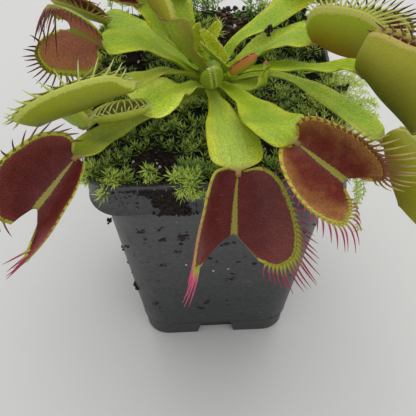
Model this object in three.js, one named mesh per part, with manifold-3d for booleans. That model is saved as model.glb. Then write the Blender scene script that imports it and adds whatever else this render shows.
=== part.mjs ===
// A potted venus flytrap: a square plastic nursery pot full of mossy peat, with a rosette of
// winged leaf stalks round a short crown, each ending in a two-lobed trap fringed with teeth.
// Millimetres, +Z up. The origin is the middle of the pot's underside, and the pot's front is -Y.
import * as THREE from "three";
import { mergeVertices } from "three/addons/utils/BufferGeometryUtils.js";
import Module from "manifold-3d";

const wasm = await Module();
wasm.setup();

// Pot, a square nursery pot of the 9 cm size
const RIM_WIDTH = 94;
const RIM_RADIUS = 12;
const POT_HEIGHT = 121;
const BAND_HEIGHT = 17;
const BODY_TOP_WIDTH = 85;
const BODY_RADIUS = 11;
const BASE_WIDTH = 64;
const FOOT_WIDTH = 61;
const FOOT_HEIGHT = 5;
const WALL = 1.6;
const FLOOR = 10;
const WELL_WIDTH = 44;
const NOTCH_BOTTOM = 17;
const NOTCH_TOP = 14;
const NOTCH_HEIGHT = 7.5;
const NOTCH_DEPTH = 8;
const CORNER_STEPS = 4;

// Soil and crown
const CLEARANCE = 0.3;
const SOIL_EDGE = 113;
const SOIL_MOUND = 3;
const SOIL_BUMP = 0.9;
const SOIL_RISE = 7;
const RISE_START = 16;
const SOIL_RINGS = 7;
const CROWN_Y = 5;
const CROWN_RADIUS = 7.5;
const CROWN_BOTTOM = 103;
const CROWN_TOP = 131;

// Leaves
const BLADE = 0.9;
const EDGE = 0.7;
const RIB = 0.9;
const NECK = 1.2;
const NECK_START = 0.93;
const TOOTH_WIDTH = 1.0;
const SLIVER = 0.12;
const LARGE = { stations: 9, across: [-1, -0.5, 0, 0.5, 1], columns: 6, rows: [0.36, 0.72] };
const SMALL = { stations: 5, across: [-1, 0, 1], columns: 4, rows: [0.6] };

// Half the width of a leaf stalk along its length, as shares of its length and its full width
const STALK_PROFILE = [
  [0, 0.28],
  [0.2, 0.3],
  [0.4, 0.48],
  [0.6, 0.76],
  [0.78, 0.95],
  [0.88, 1.0],
  [0.93, 0.85],
];

// Outlines of the lobes, each from the stalk's end of the midrib round to its tip: along the midrib,
// then outwards
const ROUND = [[-0.24, 0.4], [-0.19, 0.68], [0.03, 0.87], [0.32, 0.98], [0.66, 1.06],
  [1, 1.07], [1.27, 0.96], [1.42, 0.74], [1.41, 0.46]];
const FRONT_RIGHT_LOBE = [[-0.05, 0.15], [-0.15, 0.4], [-0.05, 0.65], [0.25, 0.85], [0.65, 1],
  [0.95, 1.05], [1.25, 1], [1.45, 0.75], [1.4, 0.45]];
const FRONT_LEFT_LOBE = [[-0.15, 0.35], [-0.15, 0.7], [0.1, 0.85], [0.45, 0.95], [0.75, 1.05],
  [1, 1.1], [1.25, 1.1], [1.25, 0.9]];
const UPPER_LOBE = [[-0.1, 0.15], [-0.25, 0.45], [-0.15, 0.75], [0.2, 0.95], [0.6, 1.05],
  [0.95, 1], [1.25, 0.85], [1.4, 0.6], [1.25, 0.35]];
const LOWER_LOBE = [[-0.05, 0.15], [-0.2, 0.35], [-0.05, 0.7], [0.3, 1], [0.7, 1.15],
  [1.05, 1.1], [1.3, 0.95], [1.35, 0.7], [1.3, 0.4], [1.1, 0.2]];
const BIG_UPPER_LOBE = [[-0.1, 0.15], [-0.3, 0.3], [-0.35, 0.55], [-0.2, 0.9], [0.05, 1.05],
  [0.45, 1.15], [0.95, 0.95], [1.35, 0.5], [1.4, 0.2]];
const BIG_LOWER_LOBE = [[-0.25, 0.4], [-0.2, 0.65], [0, 0.9], [0.25, 1], [0.55, 1.1],
  [0.8, 1.1], [1.05, 1.05], [1.2, 1], [1.1, 0.75]];
const SWEPT_LOBE = [[-0.25, 0.2], [-0.55, 0.5], [-0.5, 0.8], [0, 1], [0.5, 1.1],
  [1, 0.95], [1.3, 0.75], [1.4, 0.45], [1.25, 0.2]];
const HOOD_LOBE = [[-0.25, 0.45], [-0.3, 1], [0.05, 1.3], [0.5, 1.3], [0.9, 1.2],
  [1.4, 0.85], [1.5, 0.55], [1.3, 0.3]];
const CANOE = [[-0.1, 0.15], [0.05, 0.45], [0.25, 0.85], [0.5, 1], [0.8, 1.05],
  [1.05, 1], [1.25, 0.85], [1.4, 0.5], [1.25, 0.2]];
const DOME = [[-0.1, 0.15], [-0.2, 0.3], [-0.25, 0.55], [-0.1, 0.7], [0.2, 0.85],
  [0.45, 1], [0.75, 1.1], [1.05, 1], [1.2, 0.75], [1.15, 0.4]];

const COLOURS = { pot: "#4b5052", soil: "#2c221b", crown: "#c3c98a", leaf: "#8fae2f", dry: "#4a3424" };

// Each leaf: the stalk's path, its blade's width, its roll in degrees and how far its wings fold up,
// then the trap's tip, the middles of its two lobes' margins and their outlines, the teeth on each
// margin, their length and how far the lobes are cupped. Small leaves get fewer faces.
const LEAVES = [
  {
    name: "leaf_front",
    path: [[-1, 1, 122], [1, -18, 131], [3, -38, 139], [5, -52, 143], [4, -61, 142.5]],
    width: 17,
    trap: {
      tip: [2, -75, 131],
      lobes: [[-8, -82, 146], [22, -70, 132]],
      outlines: [FRONT_LEFT_LOBE, FRONT_RIGHT_LOBE],
      teeth: 15,
      tooth: 6,
      cup: 0.1,
    },
  },
  {
    name: "leaf_front_right",
    path: [[2, 1, 125], [10, -23, 137], [14, -43, 147], [18, -53, 152], [22, -57, 150]],
    width: 17,
    trap: {
      tip: [34, -71, 148.5],
      lobes: [[20, -79, 152], [34, -69, 165]],
      outlines: [LOWER_LOBE, UPPER_LOBE],
      teeth: 15,
      tooth: 7,
      cup: 0.1,
    },
  },
  {
    name: "leaf_right_high",
    path: [[4, 4, 126], [12, -2, 133], [22, -11, 141.5], [30, -23, 150.5],
      [35, -32, 158], [39.5, -38, 163], [41, -46, 167]],
    width: 7,
    trap: {
      tip: [51, -70, 165],
      lobes: [[54, -61, 185], [60, -51, 180]],
      outlines: [DOME, DOME],
      teeth: 15,
      tooth: 3.5,
      cup: 0.22,
    },
  },
  {
    name: "leaf_right_low",
    path: [[4, 7, 120], [22, 0, 129], [36, -18, 135], [46, -33, 137], [54, -42, 134]],
    width: 10,
    trap: {
      tip: [56, -63, 127],
      lobes: [[67, -63, 138], [72, -54, 132]],
      teeth: 14,
      tooth: 5,
      cup: 0.2,
    },
  },
  {
    name: "leaf_back_right",
    path: [[4, 7, 125.5], [10, 5, 132.5], [17.5, 0.5, 139], [24, -4, 147], [28.5, -8, 151], [33, -13, 153]],
    width: 14,
    trap: {
      tip: [46, -23, 153],
      lobes: [[41, -17, 169], [53, -13, 165]],
      teeth: 14,
      tooth: 7,
      cup: 0.16,
    },
  },
  {
    name: "leaf_back_right_tall",
    path: [[2, 9, 124], [9, 16, 132], [20, 21, 136], [30, 28, 139], [41, 39, 141]],
    width: 15,
    trap: {
      tip: [51, 36, 156],
      lobes: [[34, 33, 159], [52, 21, 150]],
      teeth: 13,
      tooth: 6,
      cup: 0.12,
    },
  },
  {
    name: "leaf_back_right_mid",
    small: true,
    path: [[3, 7, 119], [11, 12, 125], [19, 17, 129], [25, 18, 132], [31, 19, 134], [38, 22, 136]],
    width: 9,
  },
  {
    name: "leaf_back_left",
    path: [[-3, 8, 121], [-14, 18, 127], [-24, 23, 131], [-34, 25, 134], [-41, 26, 136]],
    width: 13,
    trap: {
      tip: [-52, 20, 146],
      lobes: [[-46, 14, 150], [-51, 34, 152]],
      teeth: 13,
      tooth: 6,
      cup: 0.12,
    },
  },
  {
    name: "leaf_upper_left",
    path: [[-4, 6, 124], [-15, 2, 136], [-24, -1, 145], [-33, -4, 149], [-39, -6, 149]],
    width: 12,
    trap: {
      tip: [-46, -16, 163],
      lobes: [[-53, -25, 155], [-44, -21, 171]],
      outlines: [SWEPT_LOBE, HOOD_LOBE],
      teeth: 15,
      tooth: 6,
      cup: 0.16,
    },
  },
  {
    name: "leaf_upright",
    path: [[-2, 3, 129], [-9, -4, 143], [-12, -12, 156], [-14, -16, 165], [-15, -17, 168]],
    width: 15,
    fold: 0.5,
    trap: {
      tip: [-21, -12, 178],
      lobes: [[-17, -22, 179], [-12, -12, 181]],
      teeth: 8,
      tooth: 2.5,
      cup: 0.2,
    },
  },
  {
    name: "leaf_back_mid_left",
    path: [[-2, 8, 126], [-10, 10, 133], [-17, 12, 139], [-22, 15, 146], [-25, 17, 150], [-26, 19, 151]],
    width: 9,
    trap: {
      tip: [-37, 17, 158],
      lobes: [[-35, 9, 157], [-31, 16, 164]],
      teeth: 12,
      tooth: 5,
      cup: 0.15,
    },
  },
  {
    name: "leaf_back_mid",
    path: [[-1, 9, 128], [-5, 10, 135], [-8.5, 12, 141], [-10.5, 15, 147], [-12.5, 19, 151]],
    width: 9,
    trap: {
      tip: [-15, 13, 163],
      lobes: [[-20, 9, 160], [-9, 12, 161]],
      teeth: 10,
      tooth: 4,
      cup: 0.12,
    },
  },
  {
    name: "leaf_left_mid",
    path: [[-4, 2.5, 123], [-10.5, -8, 131], [-17, -17, 137.5], [-22, -25, 140.5], [-26, -29.5, 140]],
    width: 18,
    roll: -25,
    trap: {
      tip: [-37, -30, 137.5],
      lobes: [[-32, -33, 143], [-31, -29, 144]],
      teeth: 10,
      tooth: 3,
      cup: 0.3,
    },
  },
  {
    name: "leaf_left_long",
    path: [[-5, 2.8, 126.3], [-10, -4.2, 134.5], [-16, -12, 142],
      [-22, -22, 149], [-26, -29, 153], [-29, -36, 155]],
    width: 8,
    trap: {
      tip: [-54, -43, 150],
      lobes: [[-40, -42, 165], [-41, -37, 161]],
      outlines: [CANOE, CANOE],
      teeth: 15,
      tooth: 6,
      cup: 0.25,
    },
  },
  {
    name: "leaf_left_small",
    small: true,
    path: [[-5, 7, 118], [-19, -2, 122.5], [-33, -13, 128], [-42, -23, 131.5], [-46, -29.5, 133]],
    width: 4,
    trap: {
      tip: [-53, -25, 133.5],
      lobes: [[-47, -27, 140], [-46, -21, 137.5]],
      teeth: 8,
      tooth: 3,
      cup: 0.15,
    },
  },
  {
    name: "leaf_left_big",
    path: [[-4, 3, 119], [-18, -9, 122], [-29, -18, 125], [-36, -26, 128], [-42, -38, 134], [-46, -51, 141]],
    width: 12,
    trap: {
      tip: [-57, -67, 137],
      lobes: [[-65, -63, 152], [-49, -78, 142]],
      outlines: [BIG_UPPER_LOBE, BIG_LOWER_LOBE],
      teeth: 15,
      tooth: 6,
      cup: 0.1,
    },
  },
  {
    name: "leaf_young_back",
    small: true,
    path: [[-1, 7, 128], [-4, 6, 133], [-5, 6, 136]],
    width: 4,
    trap: {
      tip: [-3, 10, 141],
      lobes: [[-8, 4, 143], [2, 8, 141]],
      teeth: 5,
      tooth: 1.5,
      cup: 0.1,
    },
  },
  {
    name: "leaf_young_mid",
    small: true,
    path: [[1, 3, 128], [4, 0, 132], [4, -1, 135]],
    width: 4,
    trap: {
      tip: [-2, 0, 141],
      lobes: [[1, 2, 144], [1, -6, 143]],
      teeth: 6,
      tooth: 2,
      cup: 0.1,
    },
  },
  {
    name: "leaf_young_red",
    small: true,
    path: [[3, 0, 128], [5.5, -3.5, 132.5], [7, -7, 135.5]],
    width: 4,
    trap: {
      tip: [14.5, -8, 141],
      lobes: [[10, -8, 144], [11, -10, 144]],
      teeth: 6,
      tooth: 2,
      cup: 0.3,
    },
  },
  {
    name: "leaf_young_green",
    small: true,
    path: [[4, 3, 123], [10, -4.5, 128.5], [14, -9.5, 132],
      [17, -11.5, 135], [17.5, -12, 140], [17.5, -12, 145]],
    width: 6,
  },
  {
    name: "leaf_young_olive",
    small: true,
    path: [[-1, 2, 127], [-1, -7, 132], [-1, -12, 135]],
    width: 4,
    trap: {
      tip: [-2, -15, 143],
      lobes: [[2, -14, 143], [-5, -18, 142]],
      teeth: 7,
      tooth: 2,
      cup: 0.15,
    },
  },
  {
    name: "leaf_dry",
    small: true,
    path: [[-3.3, 5.4, 129.6], [-6.8, 4.2, 132.6], [-8, 5.5, 134], [-8, 7.5, 134.5]],
    width: 3,
    colour: COLOURS.dry,
  },
];

const vec = (p) => new THREE.Vector3(...p);
const UP = new THREE.Vector3(0, 0, 1);

// Turns points and triangles into a solid, with its faces pointing out
function solid(points, triangles) {
  let volume = 0;
  for (const [a, b, c] of triangles) {
    volume += points[a].dot(new THREE.Vector3().crossVectors(points[b], points[c]));
  }
  const order = volume < 0 ? [0, 2, 1] : [0, 1, 2];
  const triVerts = new Uint32Array(triangles.flatMap((t) => order.map((k) => t[k])));
  const vertProperties = new Float32Array(points.flatMap((p) => [p.x, p.y, p.z]));
  return new wasm.Manifold(new wasm.Mesh({ numProp: 3, vertProperties, triVerts }));
}

// Turns a three.js geometry into a solid
function solidOf(geometry) {
  const bare = geometry.clone();
  bare.deleteAttribute("normal");
  bare.deleteAttribute("uv");
  const merged = mergeVertices(bare, 1e-4);
  const position = merged.getAttribute("position");
  return new wasm.Manifold(
    new wasm.Mesh({
      numProp: 3,
      vertProperties: new Float32Array(position.array),
      triVerts: new Uint32Array(merged.getIndex().array),
    }),
  );
}

// Turns a solid back into a named three.js mesh, without the slivers that a join leaves: points that
// lie close together become one, and triangles that close up or lie back to back go
function meshOf(name, body, colour, roughness) {
  const { vertProperties, triVerts } = body.getMesh();
  const points = [];
  const place = [];
  for (let i = 0; i < vertProperties.length; i += 3) {
    const p = new THREE.Vector3().fromArray(vertProperties, i);
    const near = points.findIndex((q) => q.distanceTo(p) < SLIVER);
    place.push(near < 0 ? points.push(p) - 1 : near);
  }
  const faces = new Map();
  for (let i = 0; i < triVerts.length; i += 3) {
    const face = [place[triVerts[i]], place[triVerts[i + 1]], place[triVerts[i + 2]]];
    const key = face.toSorted((a, b) => a - b).join();
    if (new Set(face).size < 3 || faces.delete(key)) continue;
    faces.set(key, face);
  }
  const geometry = new THREE.BufferGeometry().setFromPoints(points);
  geometry.setIndex([...faces.values()].flat());
  geometry.computeVertexNormals();
  const material = new THREE.MeshStandardMaterial({ color: colour, roughness, metalness: 0 });
  const mesh = new THREE.Mesh(geometry, material);
  mesh.name = name;
  return mesh;
}

// One level outline of a square with round corners
function squareRing(width, radius, z) {
  const h = width / 2;
  const shape = new THREE.Shape();
  shape.moveTo(h, -h + radius);
  shape.lineTo(h, h - radius);
  shape.absarc(h - radius, h - radius, radius, 0, Math.PI / 2);
  shape.lineTo(-h + radius, h);
  shape.absarc(-h + radius, h - radius, radius, Math.PI / 2, Math.PI);
  shape.lineTo(-h, -h + radius);
  shape.absarc(-h + radius, -h + radius, radius, Math.PI, Math.PI * 1.5);
  shape.lineTo(h - radius, -h);
  shape.absarc(h - radius, -h + radius, radius, Math.PI * 1.5, Math.PI * 2);
  const ring = [];
  for (const p of shape.getPoints(CORNER_STEPS)) {
    const last = ring.at(-1);
    const repeats = last && Math.hypot(last.x - p.x, last.y - p.y) < 1e-6;
    const closes = ring.length > 4 && Math.hypot(ring[0].x - p.x, ring[0].y - p.y) < 1e-6;
    if (!repeats && !closes) ring.push(new THREE.Vector3(p.x, p.y, z));
  }
  return ring;
}

// A closed solid through a stack of outlines with the same number of points
function loft(rings) {
  const n = rings[0].length;
  const points = rings.flat();
  const triangles = [];
  for (let r = 0; r + 1 < rings.length; r++) {
    for (let i = 0; i < n; i++) {
      const a = r * n + i;
      const b = r * n + ((i + 1) % n);
      triangles.push([a, b, b + n], [a, b + n, a + n]);
    }
  }
  for (const [ring, bottom] of [[0, true], [rings.length - 1, false]]) {
    const centre = points.length;
    const middle = rings[ring].reduce((sum, p) => sum.add(p), new THREE.Vector3());
    points.push(middle.divideScalar(n));
    for (let i = 0; i < n; i++) {
      const a = ring * n + i;
      const b = ring * n + ((i + 1) % n);
      triangles.push(bottom ? [b, a, centre] : [a, b, centre]);
    }
  }
  return solid(points, triangles);
}

// Width of the pot's body at a height between its base and the rim band
function bodyWidth(z) {
  return BASE_WIDTH + ((BODY_TOP_WIDTH - BASE_WIDTH) * z) / (POT_HEIGHT - BAND_HEIGHT);
}

// A plain square block between two heights, as wide as the well in the pot's floor or its filling
function well(width, from, to) {
  return loft([squareRing(width, BODY_RADIUS - WALL, from), squareRing(width, BODY_RADIUS - WALL, to)]);
}

// The thin shell: tapered body, stepped foot, overhanging rim band, and a floor that is raised round a
// flat well, so that water drains into the channel beneath it and out of a notch in each side
function makePot() {
  const bandBottom = POT_HEIGHT - BAND_HEIGHT;
  const outer = loft([
    squareRing(FOOT_WIDTH - 1.2, BODY_RADIUS - 1, 0),
    squareRing(FOOT_WIDTH, BODY_RADIUS - 1, 0.6),
    squareRing(FOOT_WIDTH + 1, BODY_RADIUS - 1, FOOT_HEIGHT),
    squareRing(bodyWidth(FOOT_HEIGHT + 1), BODY_RADIUS, FOOT_HEIGHT + 1),
    squareRing(BODY_TOP_WIDTH, BODY_RADIUS + 1, bandBottom),
    squareRing(RIM_WIDTH - 1.4, RIM_RADIUS, bandBottom + 0.2),
    squareRing(RIM_WIDTH - 1, RIM_RADIUS, bandBottom + 1),
    squareRing(RIM_WIDTH, RIM_RADIUS, POT_HEIGHT - 0.6),
    squareRing(RIM_WIDTH - 1, RIM_RADIUS - 0.5, POT_HEIGHT),
  ]);
  const inner = loft([
    squareRing(bodyWidth(FLOOR) - 2 * WALL, BODY_RADIUS - WALL, FLOOR),
    squareRing(BODY_TOP_WIDTH - 2 * WALL, BODY_RADIUS - WALL + 1, bandBottom + 2 * WALL),
    squareRing(RIM_WIDTH - 2.4 * WALL, RIM_RADIUS - WALL, bandBottom + 3 * WALL),
    squareRing(RIM_WIDTH - 2 * WALL, RIM_RADIUS - WALL, POT_HEIGHT + 1),
  ]);
  const channel = loft([
    squareRing(FOOT_WIDTH - 2 * WALL, BODY_RADIUS - WALL, -1),
    squareRing(FOOT_WIDTH - 2 * WALL, BODY_RADIUS - WALL, FOOT_HEIGHT),
    squareRing(bodyWidth(FLOOR) - 2 * WALL, BODY_RADIUS - WALL, FLOOR - WALL),
  ]).subtract(well(WELL_WIDTH, -2, FLOOR));
  let pot = outer.subtract(inner).subtract(channel).subtract(well(WELL_WIDTH - 2 * WALL, WALL, FLOOR + 1));
  const reach = FOOT_WIDTH / 2 + 1;
  for (let k = 0; k < 4; k++) {
    const ends = [[NOTCH_BOTTOM / 2 + 0.2, -1], [NOTCH_TOP / 2, NOTCH_HEIGHT]].map(([half, z]) =>
      [[reach - NOTCH_DEPTH, -half], [reach + NOTCH_DEPTH, -half], [reach + NOTCH_DEPTH, half],
        [reach - NOTCH_DEPTH, half]].map(([x, y]) => new THREE.Vector3(x, y, z)));
    const turn = (k * Math.PI) / 2;
    ends.flat().forEach((p) => p.applyAxisAngle(UP, turn));
    pot = pot.subtract(loft(ends));
  }
  return pot;
}

// Height of the mossy peat, mounded to the middle, heaped up along the back rim and uneven
function soilHeight(x, y) {
  const edge = Math.max(Math.abs(x), Math.abs(y)) / (RIM_WIDTH / 2);
  const heap = SOIL_RISE * THREE.MathUtils.smoothstep(y, RISE_START, RIM_WIDTH / 2);
  const mound = SOIL_MOUND * (1 - edge * edge) + heap;
  const bumps = Math.sin(x * 0.31 + 1.3) * Math.cos(y * 0.27 - 0.4) + 0.6 * Math.sin(x * 0.13 - y * 0.55);
  return SOIL_EDGE + mound + SOIL_BUMP * bumps;
}

// The crown's outline turned round its axis, grown by a gap
function makeCrown(gap) {
  const r = CROWN_RADIUS + gap;
  const profile = [
    [0, CROWN_BOTTOM - gap],
    [r * 0.6, CROWN_BOTTOM - gap],
    [r * 0.95, CROWN_BOTTOM + 7],
    [r, CROWN_TOP - 12],
    [r * 0.85, CROWN_TOP - 5],
    [r * 0.5, CROWN_TOP - 1 + gap],
    [0, CROWN_TOP + gap],
  ];
  const lathe = new THREE.LatheGeometry(profile.map((p) => new THREE.Vector2(...p)), 14);
  return solidOf(lathe.rotateX(Math.PI / 2).translate(0, CROWN_Y, 0));
}

// Peat and moss that fill the pot, with a plain hole for the crown
function makeSoil(crownHole) {
  const gap = 2 * CLEARANCE;
  const bandBottom = POT_HEIGHT - BAND_HEIGHT;
  const insideBody = BODY_TOP_WIDTH - 2 * WALL - gap;
  const insideRim = RIM_WIDTH - 2.4 * WALL - gap;
  const rings = [
    squareRing(bodyWidth(FLOOR) - 2 * WALL - gap, BODY_RADIUS - WALL, FLOOR + CLEARANCE),
    squareRing(insideBody, BODY_RADIUS - WALL + 1, bandBottom + 2 * WALL + CLEARANCE),
    squareRing(insideRim - 0.2, RIM_RADIUS - WALL, bandBottom + 3 * WALL + 2 * CLEARANCE),
  ];
  const rim = squareRing(insideRim, RIM_RADIUS - WALL, 0);
  for (let k = SOIL_RINGS; k > 0; k--) {
    const share = k / SOIL_RINGS;
    const ring = rim.map((p) => new THREE.Vector3(p.x * share, p.y * share, 0));
    ring.forEach((p) => (p.z = soilHeight(p.x, p.y)));
    rings.push(ring);
  }
  const plug = well(WELL_WIDTH - 2 * WALL - gap, WALL + CLEARANCE, FLOOR + 1);
  return loft(rings).add(plug).subtract(crownHole);
}

// A closed sheet between an upper and a lower set of points. Teeth are spikes on its border, each
// keyed by the border edge that it stands on.
function sheet(upper, lower, faces, teeth = new Map()) {
  const n = upper.length;
  const points = [...upper, ...lower];
  const triangles = [];
  const edges = new Set();
  for (const [a, b, c] of faces) {
    triangles.push([a, b, c], [a + n, c + n, b + n]);
    edges.add(`${a},${b}`).add(`${b},${c}`).add(`${c},${a}`);
  }
  for (const edge of edges) {
    const [p, q] = edge.split(",").map(Number);
    if (edges.has(`${q},${p}`)) continue;
    const tip = teeth.get(`${Math.min(p, q)},${Math.max(p, q)}`);
    if (tip) {
      const k = points.push(tip) - 1;
      triangles.push([q, p, k], [p, p + n, k], [p + n, q + n, k], [q + n, q, k]);
    } else {
      triangles.push([q, p, p + n], [q, p + n, q + n]);
    }
  }
  return solid(points, triangles);
}

// Value of a list of [place, value] pairs at a place between them
function along(pairs, s) {
  const next = Math.max(1, pairs.findIndex(([place]) => place >= s));
  const [s0, v0] = pairs[next - 1];
  const [s1, v1] = pairs[next];
  return v0 + ((v1 - v0) * (s - s0)) / (s1 - s0);
}

// The winged stalk of a leaf: a shallow channelled blade with a rib beneath, and a narrow neck
function makeStalk({ path, width, small, roll = 0, fold = 0.12, trap }) {
  const { stations, across } = small ? SMALL : LARGE;
  const points = path.map(vec);
  if (trap) {
    const end = points.at(-1);
    const into = vec(trap.tip).sub(end).setLength(1.5);
    points.push(end.clone().add(into));
  }
  const curve = new THREE.CatmullRomCurve3(points);
  const upper = [];
  const lower = [];
  const faces = [];
  const places = [];
  for (let i = 0; i < stations; i++) places.push((NECK_START * i) / (stations - 1));
  places.push(NECK_START + 0.02, 1);
  places.forEach((s, i) => {
    const centre = curve.getPointAt(s);
    const tangent = curve.getTangentAt(s);
    const side = new THREE.Vector3().crossVectors(tangent, UP).normalize();
    side.applyAxisAngle(tangent, THREE.MathUtils.degToRad(roll));
    const normal = new THREE.Vector3().crossVectors(side, tangent).normalize();
    const inNeck = s > NECK_START;
    const half = inNeck ? NECK : (width / 2) * along(STALK_PROFILE, s);
    for (const t of across) {
      const lift = inNeck ? 0 : Math.abs(t) * half * fold;
      const at = centre.clone().addScaledVector(side, t * half).addScaledVector(normal, lift);
      const blade = Math.abs(t) === 1 ? EDGE / 2 : BLADE / 2;
      const round = NECK * (1.15 - 0.6 * t * t);
      upper.push(at.clone().addScaledVector(normal, inNeck ? round : blade));
      lower.push(at.clone().addScaledVector(normal, inNeck ? -round : -blade - (t === 0 ? RIB : 0)));
    }
    if (i === 0) return;
    for (let c = 0; c + 1 < across.length; c++) {
      const a = (i - 1) * across.length + c;
      const b = a + across.length;
      const left = across[c] < 0;
      faces.push(left ? [a, b, b + 1] : [a, b, a + 1]);
      faces.push(left ? [a, b + 1, a + 1] : [a + 1, b, b + 1]);
    }
  });
  return sheet(upper, lower, faces);
}

// Triangles between two rows of points with different counts
function strip(rowA, rowB) {
  const faces = [];
  let i = 0;
  let j = 0;
  while (i + 1 < rowA.length || j + 1 < rowB.length) {
    const nextA = (i + 1) / (rowA.length - 1);
    const nextB = (j + 1) / (rowB.length - 1);
    if (j + 1 >= rowB.length || (i + 1 < rowA.length && nextA <= nextB)) {
      faces.push([rowA[i], rowB[j], rowA[i + 1]]);
      i++;
    } else {
      faces.push([rowA[i], rowB[j], rowB[j + 1]]);
      j++;
    }
  }
  return faces;
}

// The places of the margin's points: a tooth stands on every second step, and the gaps take the rest
function marginPlaces(teeth, length) {
  const gap = (length - teeth * TOOTH_WIDTH) / (teeth + 1);
  const places = [0];
  for (let k = 0; k < teeth; k++) {
    const start = gap + k * (gap + TOOTH_WIDTH);
    places.push(start / length, (start + TOOTH_WIDTH) / length);
  }
  places.push(1);
  return places;
}

// The trap: two cupped lobes that meet at the midrib, as one sheet, with teeth along both margins
function makeTrap(base, small, { tip, lobes, outlines = [ROUND, ROUND], teeth, tooth, cup }) {
  const { columns, rows } = small ? SMALL : LARGE;
  const from = vec(base);
  const to = vec(tip);
  const middle = from.clone().lerp(to, 0.5);
  const rib = to.clone().sub(from);
  const reach = lobes.map((p) => vec(p).sub(middle));
  const opening = reach[0].clone().normalize().add(reach[1].clone().normalize());
  opening.addScaledVector(rib, -opening.dot(rib) / rib.lengthSq()).normalize();
  const upper = [];
  const lower = [];
  const faces = [];
  const spikes = new Map();

  const spine = [];
  for (let c = 0; c <= columns; c++) {
    const s = c / columns;
    const at = from.clone().lerp(to, s).addScaledVector(opening, -0.8 * Math.sin(Math.PI * s));
    spine.push(upper.push(at.clone().addScaledVector(opening, BLADE / 2)) - 1);
    lower.push(at.clone().addScaledVector(opening, -BLADE / 2 - RIB * 0.6));
  }

  for (const side of [0, 1]) {
    const out = reach[side];
    const outline = new THREE.SplineCurve(outlines[side].map((p) => new THREE.Vector2(...p)));
    const outward = new THREE.Vector3().crossVectors(rib, out).normalize();
    if (outward.dot(reach[1 - side]) > 0) outward.negate();
    const place = (a, b) => {
      const edge = outline.getPointAt(a);
      const u = THREE.MathUtils.lerp(a, edge.x, b);
      const bulge = cup * out.length() * Math.sin(Math.PI * b) * (0.55 + 0.45 * Math.sin(Math.PI * a));
      const at = from.clone().addScaledVector(rib, u).addScaledVector(out, edge.y * b);
      at.addScaledVector(opening, -0.8 * Math.sin(Math.PI * a) * (1 - b));
      return at.addScaledVector(outward, bulge);
    };
    const add = (a, b) => {
      const at = place(a, b);
      const half = b === 1 ? EDGE / 2 : BLADE / 2;
      lower.push(at.clone().addScaledVector(outward, half));
      return upper.push(at.addScaledVector(outward, -half)) - 1;
    };
    let before = spine;
    for (const b of rows) {
      const row = [];
      for (let c = 0; c <= columns; c++) row.push(add(c / columns, b));
      faces.push(...(side ? strip(before, row) : strip(before, row).map((f) => f.toReversed())));
      before = row;
    }
    const marginLength = outline.getLength() * (out.length() + rib.length()) * 0.5;
    const places = marginPlaces(teeth, marginLength);
    const margin = places.map((a) => add(a, 1));
    faces.push(...(side ? strip(before, margin) : strip(before, margin).map((f) => f.toReversed())));
    for (let k = 1; k + 1 < margin.length; k += 2) {
      const a = (places[k] + places[k + 1]) / 2;
      const root = place(a, 1);
      const grow = root.clone().sub(place(THREE.MathUtils.lerp(a, 0.5, 0.3), 0.8)).normalize();
      grow.addScaledVector(outward, -0.25).normalize();
      const length = tooth * (0.55 + 0.45 * Math.sin(Math.PI * Math.min(1, a * 0.9 + 0.05)));
      spikes.set(`${margin[k]},${margin[k + 1]}`, root.addScaledVector(grow, length));
    }
  }
  return sheet(upper, lower, faces, spikes);
}

const plant = new THREE.Group();
plant.name = "potted_venus_flytrap";
const crownHole = makeCrown(CLEARANCE);
plant.add(meshOf("pot", makePot(), COLOURS.pot, 0.45));
plant.add(meshOf("soil", makeSoil(crownHole), COLOURS.soil, 0.95));
plant.add(meshOf("crown", makeCrown(0), COLOURS.crown, 0.6));
for (const leaf of LEAVES) {
  let body = makeStalk(leaf);
  if (leaf.trap) body = body.add(makeTrap(leaf.path.at(-1), leaf.small, leaf.trap));
  plant.add(meshOf(leaf.name, body.subtract(crownHole), leaf.colour ?? COLOURS.leaf, 0.5));
}

export default plant;
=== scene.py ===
"""A potted venus flytrap in a square nursery pot, dressed as a studio picture shows it.

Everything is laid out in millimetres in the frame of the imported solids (the origin is the middle of
the pot's underside, +Z is up and the pot's front is -Y), and turned to metres as each mesh is made.
"""

import logging
import math
import random
from dataclasses import dataclass, field
from enum import Enum

import bpy
import numpy as np
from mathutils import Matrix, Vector, noise


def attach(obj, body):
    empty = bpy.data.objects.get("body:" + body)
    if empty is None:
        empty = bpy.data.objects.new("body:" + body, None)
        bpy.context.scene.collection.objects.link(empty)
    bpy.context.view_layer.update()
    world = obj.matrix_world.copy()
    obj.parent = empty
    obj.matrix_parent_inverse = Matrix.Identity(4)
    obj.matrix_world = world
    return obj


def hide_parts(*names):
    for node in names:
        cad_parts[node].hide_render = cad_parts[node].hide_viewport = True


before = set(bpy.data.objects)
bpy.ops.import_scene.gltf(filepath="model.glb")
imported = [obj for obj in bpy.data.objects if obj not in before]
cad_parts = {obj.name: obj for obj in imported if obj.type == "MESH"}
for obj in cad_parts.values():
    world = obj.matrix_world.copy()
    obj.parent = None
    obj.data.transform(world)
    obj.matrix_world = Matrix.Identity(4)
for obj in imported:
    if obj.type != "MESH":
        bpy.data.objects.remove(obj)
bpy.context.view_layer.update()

LOG = logging.getLogger("flytrap")
MM = 0.001
Triple = tuple[float, float, float]
UP = np.array([0.0, 0.0, 1.0])
TURN = 6.28  # The range that a random turn is drawn from, in radians
GOLDEN_ANGLE = 2.39996  # Needles follow one another round a stem at this angle
ROW_PITCH = 0.87  # Rows of staggered shoots stand this share of their spacing apart


class Slot(Enum):
    """Material slots of the record."""

    POT = "pot_plastic"
    PEAT = "peat"
    CROWN = "crown_tissue"
    LEAF = "leaf_tissue"
    DRY = "dry_leaf"


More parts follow.
